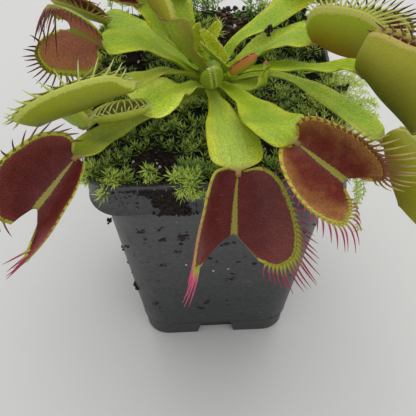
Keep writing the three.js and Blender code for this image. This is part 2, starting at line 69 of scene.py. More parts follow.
def linear(colour: str) -> tuple[float, float, float, float]:
    """Turn an sRGB hex colour into linear light.

    Args:
        colour: The colour as "#rrggbb".

    Returns:
        Red, green, blue and an alpha of one.
    """
    parts = [int(colour[k:k + 2], 16) / 255 for k in (1, 3, 5)]
    red, green, blue = (p / 12.92 if p <= 0.04045 else ((p + 0.055) / 1.055) ** 2.4 for p in parts)
    return (red, green, blue, 1.0)


def per_metre(size_mm: float) -> float:
    """Return the texture scale whose pattern repeats about every size_mm."""
    return 1.0 / (size_mm * MM)


# Numbered inputs: a colour mix's share and its two colours, and a map's range in and out
SHARE, START, END = 0, 6, 7
FROM, TO, LOW, HIGH = 1, 2, 3, 4
# Settings of a mix that blends colours and of a map that eases in and out
COLOURS = {"data_type": "RGBA"}
SMOOTH = {"interpolation_type": "SMOOTHSTEP"}


def add(tree: bpy.types.NodeTree, kind: str, feeds: dict | None = None,
        **settings: object) -> bpy.types.Node:
    """Add a node with its settings and links.

    Args:
        tree: The node tree to add to.
        kind: The shader node's type.
        feeds: Input name or number to a value, to the output that feeds it, or to the node whose
            first enabled output does.
        settings: Attributes of the node.

    Returns:
        The new node.
    """
    node = tree.nodes.new("ShaderNode" + kind)
    for name, value in settings.items():
        setattr(node, name, value)
    for socket, source in (feeds or {}).items():
        if isinstance(source, bpy.types.Node):
            source = next(output for output in source.outputs if output.enabled)
        if isinstance(source, bpy.types.NodeSocket):
            tree.links.new(source, node.inputs[socket])
        else:
            node.inputs[socket].default_value = source
    return node


def new_material(name: str) -> tuple[bpy.types.Material, bpy.types.NodeTree, bpy.types.NodeSocket]:
    """Make a material with an empty tree.

    Args:
        name: The material's name.

    Returns:
        The material, its tree, and the place on the object in metres as a socket.
    """
    material = bpy.data.materials.new(name)
    material.use_nodes = True
    tree = material.node_tree
    tree.nodes.clear()
    place = add(tree, "TexCoord").outputs["Object"]
    return material, tree, place


def finish_with(tree: bpy.types.NodeTree, shader: bpy.types.Node) -> None:
    """Send a shader to the material's surface."""
    add(tree, "OutputMaterial", {"Surface": shader})


# Finishes


@dataclass(frozen=True)
class Polypropylene:
    """Black recycled polypropylene, injection moulded: a satin grey-black with soft highlights."""

    shade: str = "#1f2123"
    # The lighter tone serves both the skin's random mottling and the painted light towards the rim
    pale_mottle_and_painted_light: str = "#4a4b4b"
    soil: str = "#231b14"
    dust: str = "#8b8984"
    roughness: float = 0.42
    ior: float = 1.49

    def make(self) -> bpy.types.Material:
        """Build the material.

        Returns:
            The pot's plastic, with a faintly uneven skin, dried peat splashes, pale dust specks, and painted
            light that lightens the wall towards the band.
        """
        material, tree, place = new_material("polypropylene_moulded")
        # The moulding's skin is not quite flat: broad waves of about a centimetre
        waves = add(tree, "TexNoise", {"Vector": place, "Scale": per_metre(14), "Detail": 2.0})
        skin = add(tree, "TexNoise", {"Vector": place, "Scale": per_metre(1.8), "Detail": 4.0})
        # Painted light: the wall is painted lighter from low down up towards the band, and the band a little
        # darker again
        height = add(tree, "SeparateXYZ", {"Vector": place})
        painted_light_rise = add(tree, "MapRange", {
            "Value": height.outputs["Z"], FROM: 30 * MM, TO: 100 * MM, LOW: 0.0, HIGH: 0.8})
        band = add(tree, "MapRange", {
            "Value": height.outputs["Z"], FROM: 104 * MM, TO: 107 * MM, LOW: 1.0, HIGH: 0.5})
        painted_light_below_band = add(tree, "Math", {0: painted_light_rise, 1: band}, operation="MULTIPLY")
        blots = add(tree, "MapRange", {"Value": skin, FROM: 0.35, TO: 0.65, LOW: -0.2, HIGH: 0.45})
        mottle_and_painted_light = add(tree, "Math", {0: blots, 1: 0.6, 2: painted_light_below_band}, operation="MULTIPLY_ADD", use_clamp=True)
        body = add(tree, "Mix", {
            SHARE: mottle_and_painted_light, START: linear(self.shade), END: linear(self.pale_mottle_and_painted_light)}, **COLOURS)
        # Splashes of dried peat of one to three millimetres, gathered in patches
        patch = add(tree, "TexNoise", {"Vector": place, "Scale": per_metre(22), "Detail": 1.0})
        gather = add(tree, "MapRange", {"Value": patch, FROM: 0.45, TO: 0.68, LOW: -0.1, HIGH: 0.045})
        splash = add(tree, "TexNoise", {
            "Vector": place, "Scale": per_metre(3.0), "Detail": 4.0, "Roughness": 0.65})
        more = add(tree, "Math", {0: splash, 1: gather}, operation="ADD")
        stuck = add(tree, "MapRange", {"Value": more, FROM: 0.66, TO: 0.69}, **SMOOTH)
        dirty = add(tree, "Mix", {SHARE: stuck, START: body, END: linear(self.soil)}, **COLOURS)
        # Pale dust specks of half a millimetre, few and far apart
        speck = add(tree, "TexVoronoi", {"Vector": place, "Scale": per_metre(6.5)})
        dot = add(tree, "MapRange", {"Value": speck, FROM: 0.045, TO: 0.06, LOW: 0.75, HIGH: 0.0})
        dusty = add(tree, "Mix", {SHARE: dot, START: dirty, END: linear(self.dust)}, **COLOURS)
        rough = add(tree, "MapRange", {"Value": stuck, LOW: self.roughness, HIGH: 0.9})
        relief = add(tree, "Math", {0: waves, 1: 5.0, 2: skin}, operation="MULTIPLY_ADD")
        bump = add(tree, "Bump", {"Height": relief, "Distance": 0.12 * MM, "Strength": 0.9})
        crust = add(tree, "Bump", {
            "Height": stuck, "Distance": 0.3 * MM, "Strength": 0.9, "Normal": bump})
        shader = add(tree, "BsdfPrincipled", {
            "Base Color": dusty, "Roughness": rough, "IOR": self.ior, "Normal": crust})
        finish_with(tree, shader)
        return material


@dataclass(frozen=True)
class DampPeat:
    """Damp sphagnum peat, milled: near black with brown fibres and pale mineral grit."""

    wet: str = "#120e0b"
    fibre: str = "#3b2a1e"
    grit: str = "#9b8f80"
    # Painted shade: under the moss the peat is tinted this near-black green, for the shade between the
    # shoots
    green: str = "#0f140a"

    def make(self, name: str = "peat_damp", mossy: bool = True) -> bpy.types.Material:
        """Build the material.

        Args:
            name: The material's name.
            mossy: Whether the mesh says where moss covers the peat, which is painted a near-black green
                there as shade between the shoots.

        Returns:
            The peat.
        """
        material, tree, place = new_material(name)
        lumps = add(tree, "TexNoise", {
            "Vector": place, "Scale": per_metre(2.2), "Detail": 6.0, "Roughness": 0.7})
        brown = add(tree, "MapRange", {"Value": lumps, FROM: 0.45, TO: 0.75})
        earth = add(tree, "Mix", {
            SHARE: brown, START: linear(self.wet), END: linear(self.fibre)}, **COLOURS)
        grains = add(tree, "TexVoronoi", {"Vector": place, "Scale": per_metre(2.6)})
        grit = add(tree, "MapRange", {"Value": grains, FROM: 0.09, TO: 0.13, LOW: 0.7, HIGH: 0.0})
        gritty = add(tree, "Mix", {SHARE: grit, START: earth, END: linear(self.grit)}, **COLOURS)
        colour = gritty
        if mossy:
            # Painted shade: where moss grows the peat turns near-black green, as the shade between the
            # shoots
            shade = add(tree, "Attribute", attribute_name="mossy").outputs["Fac"]
            colour = add(tree, "Mix", {SHARE: shade, START: colour, END: linear(self.green)}, **COLOURS)
        bump = add(tree, "Bump", {"Height": lumps, "Distance": 0.9 * MM, "Strength": 0.9})
        shader = add(tree, "BsdfPrincipled", {
            "Base Color": colour, "Roughness": 0.72, "IOR": 1.4, "Normal": bump})
        finish_with(tree, shader)
        return material


@dataclass(frozen=True)
class PlainGrain:
    """A small dry grain of one stuff, such as perlite or bark, with a crumbly skin."""

    name: str
    light: str
    dark: str
    grain_mm: float
    roughness: float

    def make(self) -> bpy.types.Material:
        """Build the material.

        Returns:
            The grain's finish: two tones broken up at the grain's own scale.
        """
        material, tree, place = new_material(self.name)
        mottle = add(tree, "TexNoise", {
            "Vector": place, "Scale": per_metre(self.grain_mm), "Detail": 4.0})
        share = add(tree, "MapRange", {"Value": mottle, FROM: 0.35, TO: 0.65})
        colour = add(tree, "Mix", {
            SHARE: share, START: linear(self.dark), END: linear(self.light)}, **COLOURS)
        bump = add(tree, "Bump", {"Height": mottle, "Distance": 0.3 * MM})
        shader = add(tree, "BsdfPrincipled", {
            "Base Color": colour, "Roughness": self.roughness, "IOR": 1.45, "Normal": bump})
        finish_with(tree, shader)
        return material


@dataclass(frozen=True)
class MossLeaf:
    """Living haircap moss: translucent needles, near black at the root as painted shade among the shoots,
    and yellow-green at the tip, paled towards white as a painted highlight.
    """

    root: str = "#070a04"
    young: str = "#c6dc5c"
    old: str = "#6b9638"
    tip: str = "#ecf4b0"

    def make(self) -> bpy.types.Material:
        """Build the material.

        Returns:
            The moss, coloured along each needle and from shoot to shoot, with painted shade at the roots and
            a painted highlight at the tips.
        """
        material, tree, _ = new_material("moss_living")
        reach = add(tree, "Attribute", attribute_name="reach").outputs["Fac"]
        hue = add(tree, "Attribute", attribute_name="hue").outputs["Fac"]
        leaf = add(tree, "Mix", {SHARE: hue, START: linear(self.old), END: linear(self.young)}, **COLOURS)
        # Partly painted shade: each needle runs from near black at its root, for the shade among the shoots,
        # up to its green
        low = add(tree, "MapRange", {"Value": reach, FROM: 0.04, TO: 0.42})
        body = add(tree, "Mix", {SHARE: low, START: linear(self.root), END: leaf}, **COLOURS)
        # Partly painted highlight: the tips pale towards white, for the shine on the needles
        whitish_tip_painted_highlight = add(tree, "MapRange", {"Value": reach, FROM: 0.55, TO: 1.0, HIGH: 0.75})
        colour = add(tree, "Mix", {SHARE: whitish_tip_painted_highlight, START: body, END: linear(self.tip)}, **COLOURS)
        shader = add(tree, "BsdfPrincipled", {
            "Base Color": colour, "Roughness": 0.5, "IOR": 1.42, "Subsurface Weight": 0.2,
            "Subsurface Radius": (0.6, 1.0, 0.3), "Subsurface Scale": 0.6 * MM})
        finish_with(tree, shader)
        return material


@dataclass(frozen=True)
class LeafBlade:
    """A living leaf stalk: smooth, juicy green tissue with a satin skin, paler along its edges."""

    name: str = "leaf_blade"
    middle: str = "#92a93c"
    edge: str = "#a9b53a"
    deep: str = "#6d8f2a"
    neck: str = "#8a7440"
    roughness: float = 0.42

    def make(self) -> bpy.types.Material:
        """Build the material.

        Returns:
            The blade, with stippled cells, long veins, mottling and a brownish neck.
        """
        material, tree, place = new_material(self.name)
        across = add(tree, "Attribute", attribute_name="across").outputs["Fac"]
        along = add(tree, "Attribute", attribute_name="along").outputs["Fac"]
        far = add(tree, "Math", {0: across}, operation="ABSOLUTE")
        to_edge = add(tree, "MapRange", {"Value": far, FROM: 0.35, TO: 1.0}, **SMOOTH)
        green = add(tree, "Mix", {
            SHARE: to_edge, START: linear(self.middle), END: linear(self.edge)}, **COLOURS)
        # Cloudy darker patches of about a centimetre
        cloud = add(tree, "TexNoise", {"Vector": place, "Scale": per_metre(11), "Detail": 2.0})
        dark = add(tree, "MapRange", {"Value": cloud, FROM: 0.42, TO: 0.72, HIGH: 0.75})
        clouded = add(tree, "Mix", {SHARE: dark, START: green, END: linear(self.deep)}, **COLOURS)
        # Long veins that run with the blade, a millimetre or so apart
        spread = add(tree, "Math", {0: across, 1: 7.0}, operation="MULTIPLY")
        run = add(tree, "Math", {0: along, 1: 2.5}, operation="MULTIPLY")
        lie = add(tree, "CombineXYZ", {"X": spread, "Y": run})
        vein = add(tree, "TexNoise", {"Vector": lie, "Scale": 1.6, "Detail": 3.0})
        # The cells show as a stipple, drawn at 0.6 mm because finer would not show
        cells = add(tree, "TexNoise", {"Vector": place, "Scale": per_metre(0.6), "Detail": 2.0})
        faint = add(tree, "Math", {0: vein, 1: 0.6}, operation="MULTIPLY")
        texture = add(tree, "Math", {0: cells, 1: 1.5, 2: faint}, operation="MULTIPLY_ADD")
        light = add(tree, "MapRange", {"Value": texture, FROM: 0.75, TO: 1.35, LOW: 0.74, HIGH: 1.28})
        stippled = add(tree, "VectorMath", {0: clouded, "Scale": light}, operation="SCALE")
        at_neck = add(tree, "MapRange", {"Value": along, FROM: 0.93, TO: 0.985}, **SMOOTH)
        colour = add(tree, "Mix", {SHARE: at_neck, START: stippled, END: linear(self.neck)}, **COLOURS)
        bump = add(tree, "Bump", {"Height": texture, "Distance": 0.12 * MM, "Strength": 0.6})
        shader = add(tree, "BsdfPrincipled", {
            "Base Color": colour, "Roughness": self.roughness, "IOR": 1.42, "Specular IOR Level": 0.35,
            "Subsurface Weight": 0.25, "Subsurface Radius": (0.7, 1.0, 0.25),
            "Subsurface Scale": 1.2 * MM, "Normal": bump})
        finish_with(tree, shader)
        return material


@dataclass(frozen=True)
class TrapSkin:
    """The two lobes of a trap: a red glandular lining, a green back and a yellow-green margin."""

    name: str = "trap_skin"
    heart: str = "#541a18"
    flare: str = "#6c302a"
    margin: str = "#a3a63a"
    stripe: str = "#8a8436"
    back: str = "#838a30"
    back_low: str = "#73752a"
    back_from: float = 0.0
    roughness: float = 0.4

    def make(self) -> bpy.types.Material:
        """Build the material.

        Returns:
            The lobes' skin, told apart by the values that the mesh carries.
        """
        material, tree, place = new_material(self.name)
        value = {
            name: add(tree, "Attribute", attribute_name=name).outputs["Fac"]
            for name in ("across", "along", "inside", "band", "stripe")
        }
        # The lining: darkest by the midrib, paler and browner outwards
        outward = add(tree, "MapRange", {"Value": value["across"], FROM: 0.35, TO: 1.0}, **SMOOTH)
        blotch = add(tree, "TexNoise", {"Vector": place, "Scale": per_metre(5), "Detail": 3.0})
        shift = add(tree, "MapRange", {"Value": blotch, FROM: 0.3, TO: 0.7, LOW: -0.3, HIGH: 0.3})
        warm = add(tree, "Math", {0: outward, 1: shift}, operation="ADD", use_clamp=True)
        lining = add(tree, "Mix", {
            SHARE: warm, START: linear(self.heart), END: linear(self.flare)}, **COLOURS)
        # Nectar glands show as a fine stipple, drawn at 0.5 mm because finer would not show
        glands = add(tree, "TexNoise", {"Vector": place, "Scale": per_metre(0.5), "Detail": 2.0})
        # Parallel veins run from the midrib to the margin
        spread = add(tree, "Math", {0: value["along"], 1: 26.0}, operation="MULTIPLY")
        lie = add(tree, "CombineXYZ", {"X": spread, "Y": value["across"]})
        vein = add(tree, "TexNoise", {"Vector": lie, "Scale": 1.0, "Detail": 2.0})
        soft = add(tree, "Math", {0: vein, 1: 0.35}, operation="MULTIPLY")
        texture = add(tree, "Math", {0: glands, 1: 1.45, 2: soft}, operation="MULTIPLY_ADD")
        light = add(tree, "MapRange", {"Value": texture, FROM: 0.65, TO: 1.15, LOW: 0.7, HIGH: 1.34})
        lined = add(tree, "VectorMath", {0: lining, "Scale": light}, operation="SCALE")
        # Ragged edges where the lining meets the midrib's stripe and the margin's band
        ragged = add(tree, "MapRange", {"Value": texture, FROM: 0.65, TO: 1.15, LOW: -0.12, HIGH: 0.12})
        near_rib = add(tree, "Math", {0: value["stripe"], 1: ragged}, operation="ADD")
        rib = add(tree, "MapRange", {"Value": near_rib, FROM: 0.4, TO: 0.62}, **SMOOTH)
        ribbed = add(tree, "Mix", {SHARE: rib, START: lined, END: linear(self.stripe)}, **COLOURS)
        near_rim = add(tree, "Math", {0: value["band"], 1: ragged}, operation="ADD")
        rim = add(tree, "MapRange", {"Value": near_rim, FROM: 0.2, TO: 0.5}, **SMOOTH)
        inside = add(tree, "Mix", {SHARE: rim, START: ribbed, END: linear(self.margin)}, **COLOURS)
        # The back: green, duller and browner towards the midrib; on one skin the darkening there is painted
        # shade
        towards = add(tree, "MapRange", {
            "Value": value["across"], FROM: self.back_from, TO: self.back_from + 0.8})
        green = add(tree, "Mix", {
            SHARE: towards, START: linear(self.back_low), END: linear(self.back)}, **COLOURS)
        # The back is smooth: its veins and cells barely show
        faint = add(tree, "MapRange", {"Value": texture, FROM: 0.65, TO: 1.15, LOW: 0.93, HIGH: 1.07})
        veined = add(tree, "VectorMath", {0: green, "Scale": faint}, operation="SCALE")
        outside = add(tree, "Mix", {SHARE: rim, START: veined, END: linear(self.margin)}, **COLOURS)
        colour = add(tree, "Mix", {SHARE: value["inside"], START: outside, END: inside}, **COLOURS)
        bump = add(tree, "Bump", {"Height": texture, "Distance": 0.14 * MM, "Strength": 0.7})
        shader = add(tree, "BsdfPrincipled", {
            "Base Color": colour, "Roughness": self.roughness, "IOR": 1.42, "Subsurface Weight": 0.15,
            "Subsurface Radius": (1.0, 0.7, 0.3), "Subsurface Scale": 0.9 * MM,
            "Specular IOR Level": 0.35, "Normal": bump})
        finish_with(tree, shader)
        return material


@dataclass(frozen=True)
class Cilia:
    """The teeth of a trap's margin: stiff and glossy, green at the root and coloured at the tip."""

    name: str = "cilia"
    root: str = "#a3a03a"
    tip: str = "#8c2c40"
    turn: float = 0.3

    def make(self) -> bpy.types.Material:
        """Build the material.

        Returns:
            The teeth, shaded along their length.
        """
        material, tree, _ = new_material(self.name)
        reach = add(tree, "Attribute", attribute_name="reach").outputs["Fac"]
        share = add(tree, "MapRange", {
            "Value": reach, FROM: self.turn - 0.2, TO: self.turn + 0.25}, **SMOOTH)
        colour = add(tree, "Mix", {
            SHARE: share, START: linear(self.root), END: linear(self.tip)}, **COLOURS)
        shader = add(tree, "BsdfPrincipled", {
            "Base Color": colour, "Roughness": 0.36, "IOR": 1.42, "Subsurface Weight": 0.2,
            "Subsurface Radius": (1.0, 0.6, 0.4), "Subsurface Scale": 0.4 * MM})
        finish_with(tree, shader)
        return material


@dataclass(frozen=True)
class PaleBoard:
    """Matt white display board, painted: the plain ground the pot stands on."""

    shade: str = "#d1d1d0"

    def make(self) -> bpy.types.Material:
        """Build the material.

        Returns:
            The board, with a barely visible cloudiness.
        """
        material, tree, place = new_material("board_painted")
        cloud = add(tree, "TexNoise", {"Vector": place, "Scale": per_metre(180), "Detail": 2.0})
        light = add(tree, "MapRange", {"Value": cloud, LOW: 0.975, HIGH: 1.02})
        colour = add(tree, "VectorMath", {0: linear(self.shade)[:3], "Scale": light}, operation="SCALE")
        shader = add(tree, "BsdfPrincipled", {"Base Color": colour, "Roughness": 0.8})
        finish_with(tree, shader)
        return material


# The plant's greens, teeth and trap skins; some are lighter or darker copies that paint light and shade
LIVELY = LeafBlade("leaf_blade_lively", middle="#93ab1e", edge="#b0b82c", deep="#76971a")
PALE = LeafBlade("leaf_blade_pale", middle="#a0b340", edge="#b9bd30", deep="#8ba52c", neck="#8d7038")
# Painted light: the next two are lighter copies of the blade, given to blades that lie in shade so that they
# read as lit
PAINTED_LIGHT_BLADE = LeafBlade("leaf_blade_painted_light", middle="#a3ba30", edge="#b7bf42", deep="#84a626")
SUNLIT = LeafBlade("leaf_blade_sunlit", middle="#c8de4a", edge="#d2dc5c", deep="#a9c838")
HARDENED = LeafBlade(
    "leaf_blade_hardened", middle="#98a836", edge="#948a3e", deep="#8c8c3a", neck="#8d7038")
OLIVE = LeafBlade("leaf_blade_olive", middle="#889620", edge="#a0a632", deep="#6f831c")
DRIED = LeafBlade(
    "leaf_blade_dried", middle="#3c2a1e", edge="#4f3828", deep="#2a1d15", neck="#2e2018", roughness=0.8)

MAGENTA = Cilia("cilia_magenta", root="#9c9a34", tip="#932045")
PINK = Cilia("cilia_pink", root="#9c9a34", tip="#c04a70")
MAROON = Cilia("cilia_maroon", root="#8b7a30", tip="#5c2226")
PALE_GREEN = Cilia("cilia_pale_green", root="#a9b04c", tip="#bcc47e", turn=0.5)
STRAW = Cilia("cilia_straw", root="#7a4826", tip="#b0985c", turn=0.5)
BROWN = Cilia("cilia_brown", root="#8f8434", tip="#7c4a34", turn=0.45)

RED_TRAP = TrapSkin("trap_skin_red")
CANOE_TRAP = TrapSkin("trap_skin_canoe", margin="#bac05a", back="#8f981c", back_low="#6a6c14")
AMBER_TRAP = TrapSkin(
    "trap_skin_amber", heart="#6b2b22", flare="#94673a", margin="#b3a63a", stripe="#97963a")
# Painted light: this rosy lining is painted far lighter than the plant's own, for the light that the hooded
# lobe keeps off it
ROSY_TRAP_PAINTED_LIGHT = TrapSkin(
    "trap_skin_rosy_painted_light", heart="#bd7666", flare="#bd8058", margin="#b6c83c", stripe="#a0a048")
# Painted shade: this skin's back is painted dark olive towards the midrib, for the shade on the lobe's lower
# side
BACK_PAINTED_SHADE_TRAP = TrapSkin("trap_skin_back_painted_shade", margin="#aa9c48", back="#8d8c1e", back_low="#4f5410")
SUNNY_TRAP = TrapSkin("trap_skin_sunny", margin="#b3b254", back="#8b9a14", back_low="#86601a")
GREEN_TRAP = TrapSkin(
    "trap_skin_green", heart="#6a3a2c", flare="#8d5d3a", margin="#b0ae48", back="#8f9018",
    back_low="#7f7816")
BUD_TRAP = TrapSkin(
    "trap_skin_bud", heart="#869c24", margin="#a6ba40", back="#8da226", back_low="#7c9220",
    roughness=0.6)
YOUNG_TRAP = TrapSkin(
    "trap_skin_young", heart="#98a41c", flare="#a6b020", margin="#bcc648", stripe="#9aa420",
    back="#98b01a", back_low="#8c9c18", roughness=0.6)
LIME_TRAP = TrapSkin(
    "trap_skin_lime", heart="#8d8a30", flare="#a3a838", margin="#b3ba48", stripe="#9aa638",
    back="#9cac30", back_low="#879a28")
ORANGE_TRAP = TrapSkin(
    "trap_skin_orange", heart="#a5502c", flare="#b0703a", margin="#b8604a", back="#c4643e",
    back_low="#7d9a14", back_from=0.3)


# Meshes


@dataclass
class Shape:
    """Points in millimetres, faces over them, and named values at the points."""

    points: np.ndarray
    faces: list[np.ndarray]
    values: dict[str, np.ndarray] = field(default_factory=dict)
    slots: list[int] = field(default_factory=list)

    def marked(self, slot: int) -> "Shape":
        """Return the shape with all its faces given one material slot."""
        self.slots = [slot] * len(self.faces)
        return self


def joined(shapes: list[Shape]) -> Shape:
    """Put shapes together in one.

    Args:
        shapes: The shapes, each with a slot for every set of faces.

    Returns:
        One shape; a value that a shape lacks is zero there.
    """
    names = sorted({name for shape in shapes for name in shape.values})
    points, faces, slots = [], [], []
    values: dict[str, list[np.ndarray]] = {name: [] for name in names}
    start = 0
    for shape in shapes:
        points.append(shape.points)
        faces += [f + start for f in shape.faces]
        slots += shape.slots or [0] * len(shape.faces)
        for name in names:
            values[name].append(shape.values.get(name, np.zeros(len(shape.points))))
        start += len(shape.points)
    return Shape(np.concatenate(points), faces, {k: np.concatenate(v) for k, v in values.items()}, slots)


def make_object(name: str, shape: Shape, materials: list[bpy.types.Material],
                smooth: bool = True) -> bpy.types.Object:
    """Turn a shape into an object that rides on the plant's one body.

    Args:
        name: The piece's name.
        shape: Its shape in millimetres.
        materials: The finishes that the shape's slots number.
        smooth: Whether its faces are shaded smooth.

    Returns:
        The object, in the scene.
    """
    mesh = bpy.data.meshes.new(name)
    corners = np.concatenate([f.ravel() for f in shape.faces]).astype(np.int32)
    sizes = np.concatenate([np.full(len(f), f.shape[1]) for f in shape.faces])
    starts = np.concatenate([[0], np.cumsum(sizes)[:-1]]).astype(np.int32)
    marks = shape.slots or [0] * len(shape.faces)
    which = np.concatenate([np.full(len(f), s) for f, s in zip(shape.faces, marks)])
    mesh.vertices.add(len(shape.points))
    mesh.vertices.foreach_set("co", (shape.points * MM).astype(np.float32).ravel())
    mesh.loops.add(len(corners))
    mesh.loops.foreach_set("vertex_index", corners)
    mesh.polygons.add(len(sizes))
    mesh.polygons.foreach_set("loop_start", starts)
    mesh.polygons.foreach_set("material_index", which.astype(np.int32))
    mesh.polygons.foreach_set("use_smooth", np.full(len(sizes), smooth))
    for value, numbers in shape.values.items():
        attribute = mesh.attributes.new(value, "FLOAT", "POINT")
        attribute.data.foreach_set("value", numbers.astype(np.float32))
    for material in materials:
        mesh.materials.append(material)
    mesh.update(calc_edges=True)
    mesh.validate()
    piece = bpy.data.objects.new(name, mesh)
    bpy.context.collection.objects.link(piece)
    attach(piece, "root")
    LOG.info("%s: %d faces", name, len(sizes))
    return piece


def unit(v: np.ndarray) -> np.ndarray:
    """Return vectors scaled to length one."""
    return v / np.maximum(np.linalg.norm(v, axis=-1, keepdims=True), 1e-9)


def even(points: np.ndarray, count: int) -> np.ndarray:
    """Space points evenly along a polyline.

    Args:
        points: Its corners.
        count: How many points to return.

    Returns:
        The points, from end to end.
    """
    steps = np.concatenate([[0], np.cumsum(np.linalg.norm(np.diff(points, axis=0), axis=1))])
    at = np.linspace(0, steps[-1], count)
    return np.stack([np.interp(at, steps, points[:, k]) for k in range(points.shape[1])], axis=1)


def smooth_path(points: np.ndarray, count: int) -> np.ndarray:
    """Walk a smooth curve through points.

    Args:
        points: The points that the curve passes through.
        count: How many evenly spaced points to return.

    Returns:
        Points along a centripetal Catmull-Rom curve.
    """
    ends = np.concatenate([[2 * points[0] - points[1]], points, [2 * points[-1] - points[-2]]])
    share = np.linspace(0, 1, 40, endpoint=False)[:, None]
    walked = []
    for k in range(1, len(ends) - 2):
        p0, p1, p2, p3 = ends[k - 1:k + 3]
        d0, d1, d2 = (max(np.linalg.norm(b - a), 1e-4) ** 0.5 for a, b in ((p0, p1), (p1, p2), (p2, p3)))
        t1 = ((p1 - p0) / d0 - (p2 - p0) / (d0 + d1) + (p2 - p1) / d1) * d1
        t2 = ((p2 - p1) / d1 - (p3 - p1) / (d1 + d2) + (p3 - p2) / d2) * d1
        walked.append(p1 + t1 * share + (3 * (p2 - p1) - 2 * t1 - t2) * share**2
                      + (2 * (p1 - p2) + t1 + t2) * share**3)
    return even(np.concatenate(walked + [points[-1:]]), count)


def grid_faces(rows: int, columns: int, wrap: bool = False) -> np.ndarray:
    """Return the four-sided faces of a grid of points laid out row by row.

    Args:
        rows: Number of rows.
        columns: Points in each row.
        wrap: Whether each row closes on itself.

    Returns:
        The faces as point numbers.
    """
    across = np.arange(columns if wrap else columns - 1)
    r, c = np.meshgrid(np.arange(rows - 1), across, indexing="ij")
    a, b = r * columns + c, r * columns + (c + 1) % columns
    return np.stack([a, b, b + columns, a + columns], axis=-1).reshape(-1, 4)


def closed_faces(rows: int, columns: int) -> list[np.ndarray]:
    """Return the faces of a closed stack of outlines.

    Args:
        rows: Number of outlines.
        columns: Points round each outline.

    Returns:
        The faces as point numbers; the middles of the two ends are the last two points.
    """
    ring = np.arange(columns)
    after, last = (ring + 1) % columns, (rows - 1) * columns
    middle = np.full(columns, rows * columns)
    return [grid_faces(rows, columns, wrap=True), np.stack([after, ring, middle], axis=1),
            np.stack([ring + last, after + last, middle + 1], axis=1)]


def lofted(rings: list[np.ndarray]) -> Shape:
    """Close a stack of outlines with the same number of points.

    Args:
        rings: The outlines, each anticlockwise from above if they go up.

    Returns:
        The closed shape.
    """
    points = np.concatenate([*rings, [rings[0].mean(axis=0)], [rings[-1].mean(axis=0)]])
    return Shape(points, closed_faces(len(rings), len(rings[0])))


def tube(path: np.ndarray, wide: np.ndarray, thick: np.ndarray, across: np.ndarray, sides: int,
         values: dict[str, np.ndarray]) -> Shape:
    """Sweep an ellipse along a path, closed at both ends.

    Args:
        path: Points of the path.
        wide: Half width at each point, along the across direction.
        thick: Half thickness at each point.
        across: Direction of the width.
        sides: Points round the ellipse.
        values: Named values at each point of the path.

    Returns:
        The closed shape.
    """
    tangent = unit(np.gradient(path, axis=0))
    flat = unit(across - tangent * (tangent @ across)[:, None] if across.ndim == 1 else across)
    up = unit(np.cross(tangent, flat))
    turn = np.linspace(0, 2 * math.pi, sides, endpoint=False)
    rings = (path[:, None] + flat[:, None] * (wide[:, None] * np.cos(turn))[..., None]
             + up[:, None] * (thick[:, None] * np.sin(turn))[..., None])
    points = np.concatenate([rings.reshape(-1, 3), path[:1], path[-1:]])
    spread = {k: np.concatenate([np.repeat(v, sides), v[:1], v[-1:]]) for k, v in values.items()}
    return Shape(points, closed_faces(len(path), sides), spread)


def jolt(luck: random.Random, spread: float) -> np.ndarray:
    """Return a random shift with the same spread in all three directions."""
    return np.array([luck.gauss(0, spread) for _ in range(3)])


def standing(axis: np.ndarray, spin: float) -> np.ndarray:
    """Return the turn that stands a shoot up along an axis and spins it."""
    right = unit(np.cross(axis, [math.sin(spin), math.cos(spin), 0.1]))
    return np.stack([right, np.cross(axis, right), axis])


# Leaves


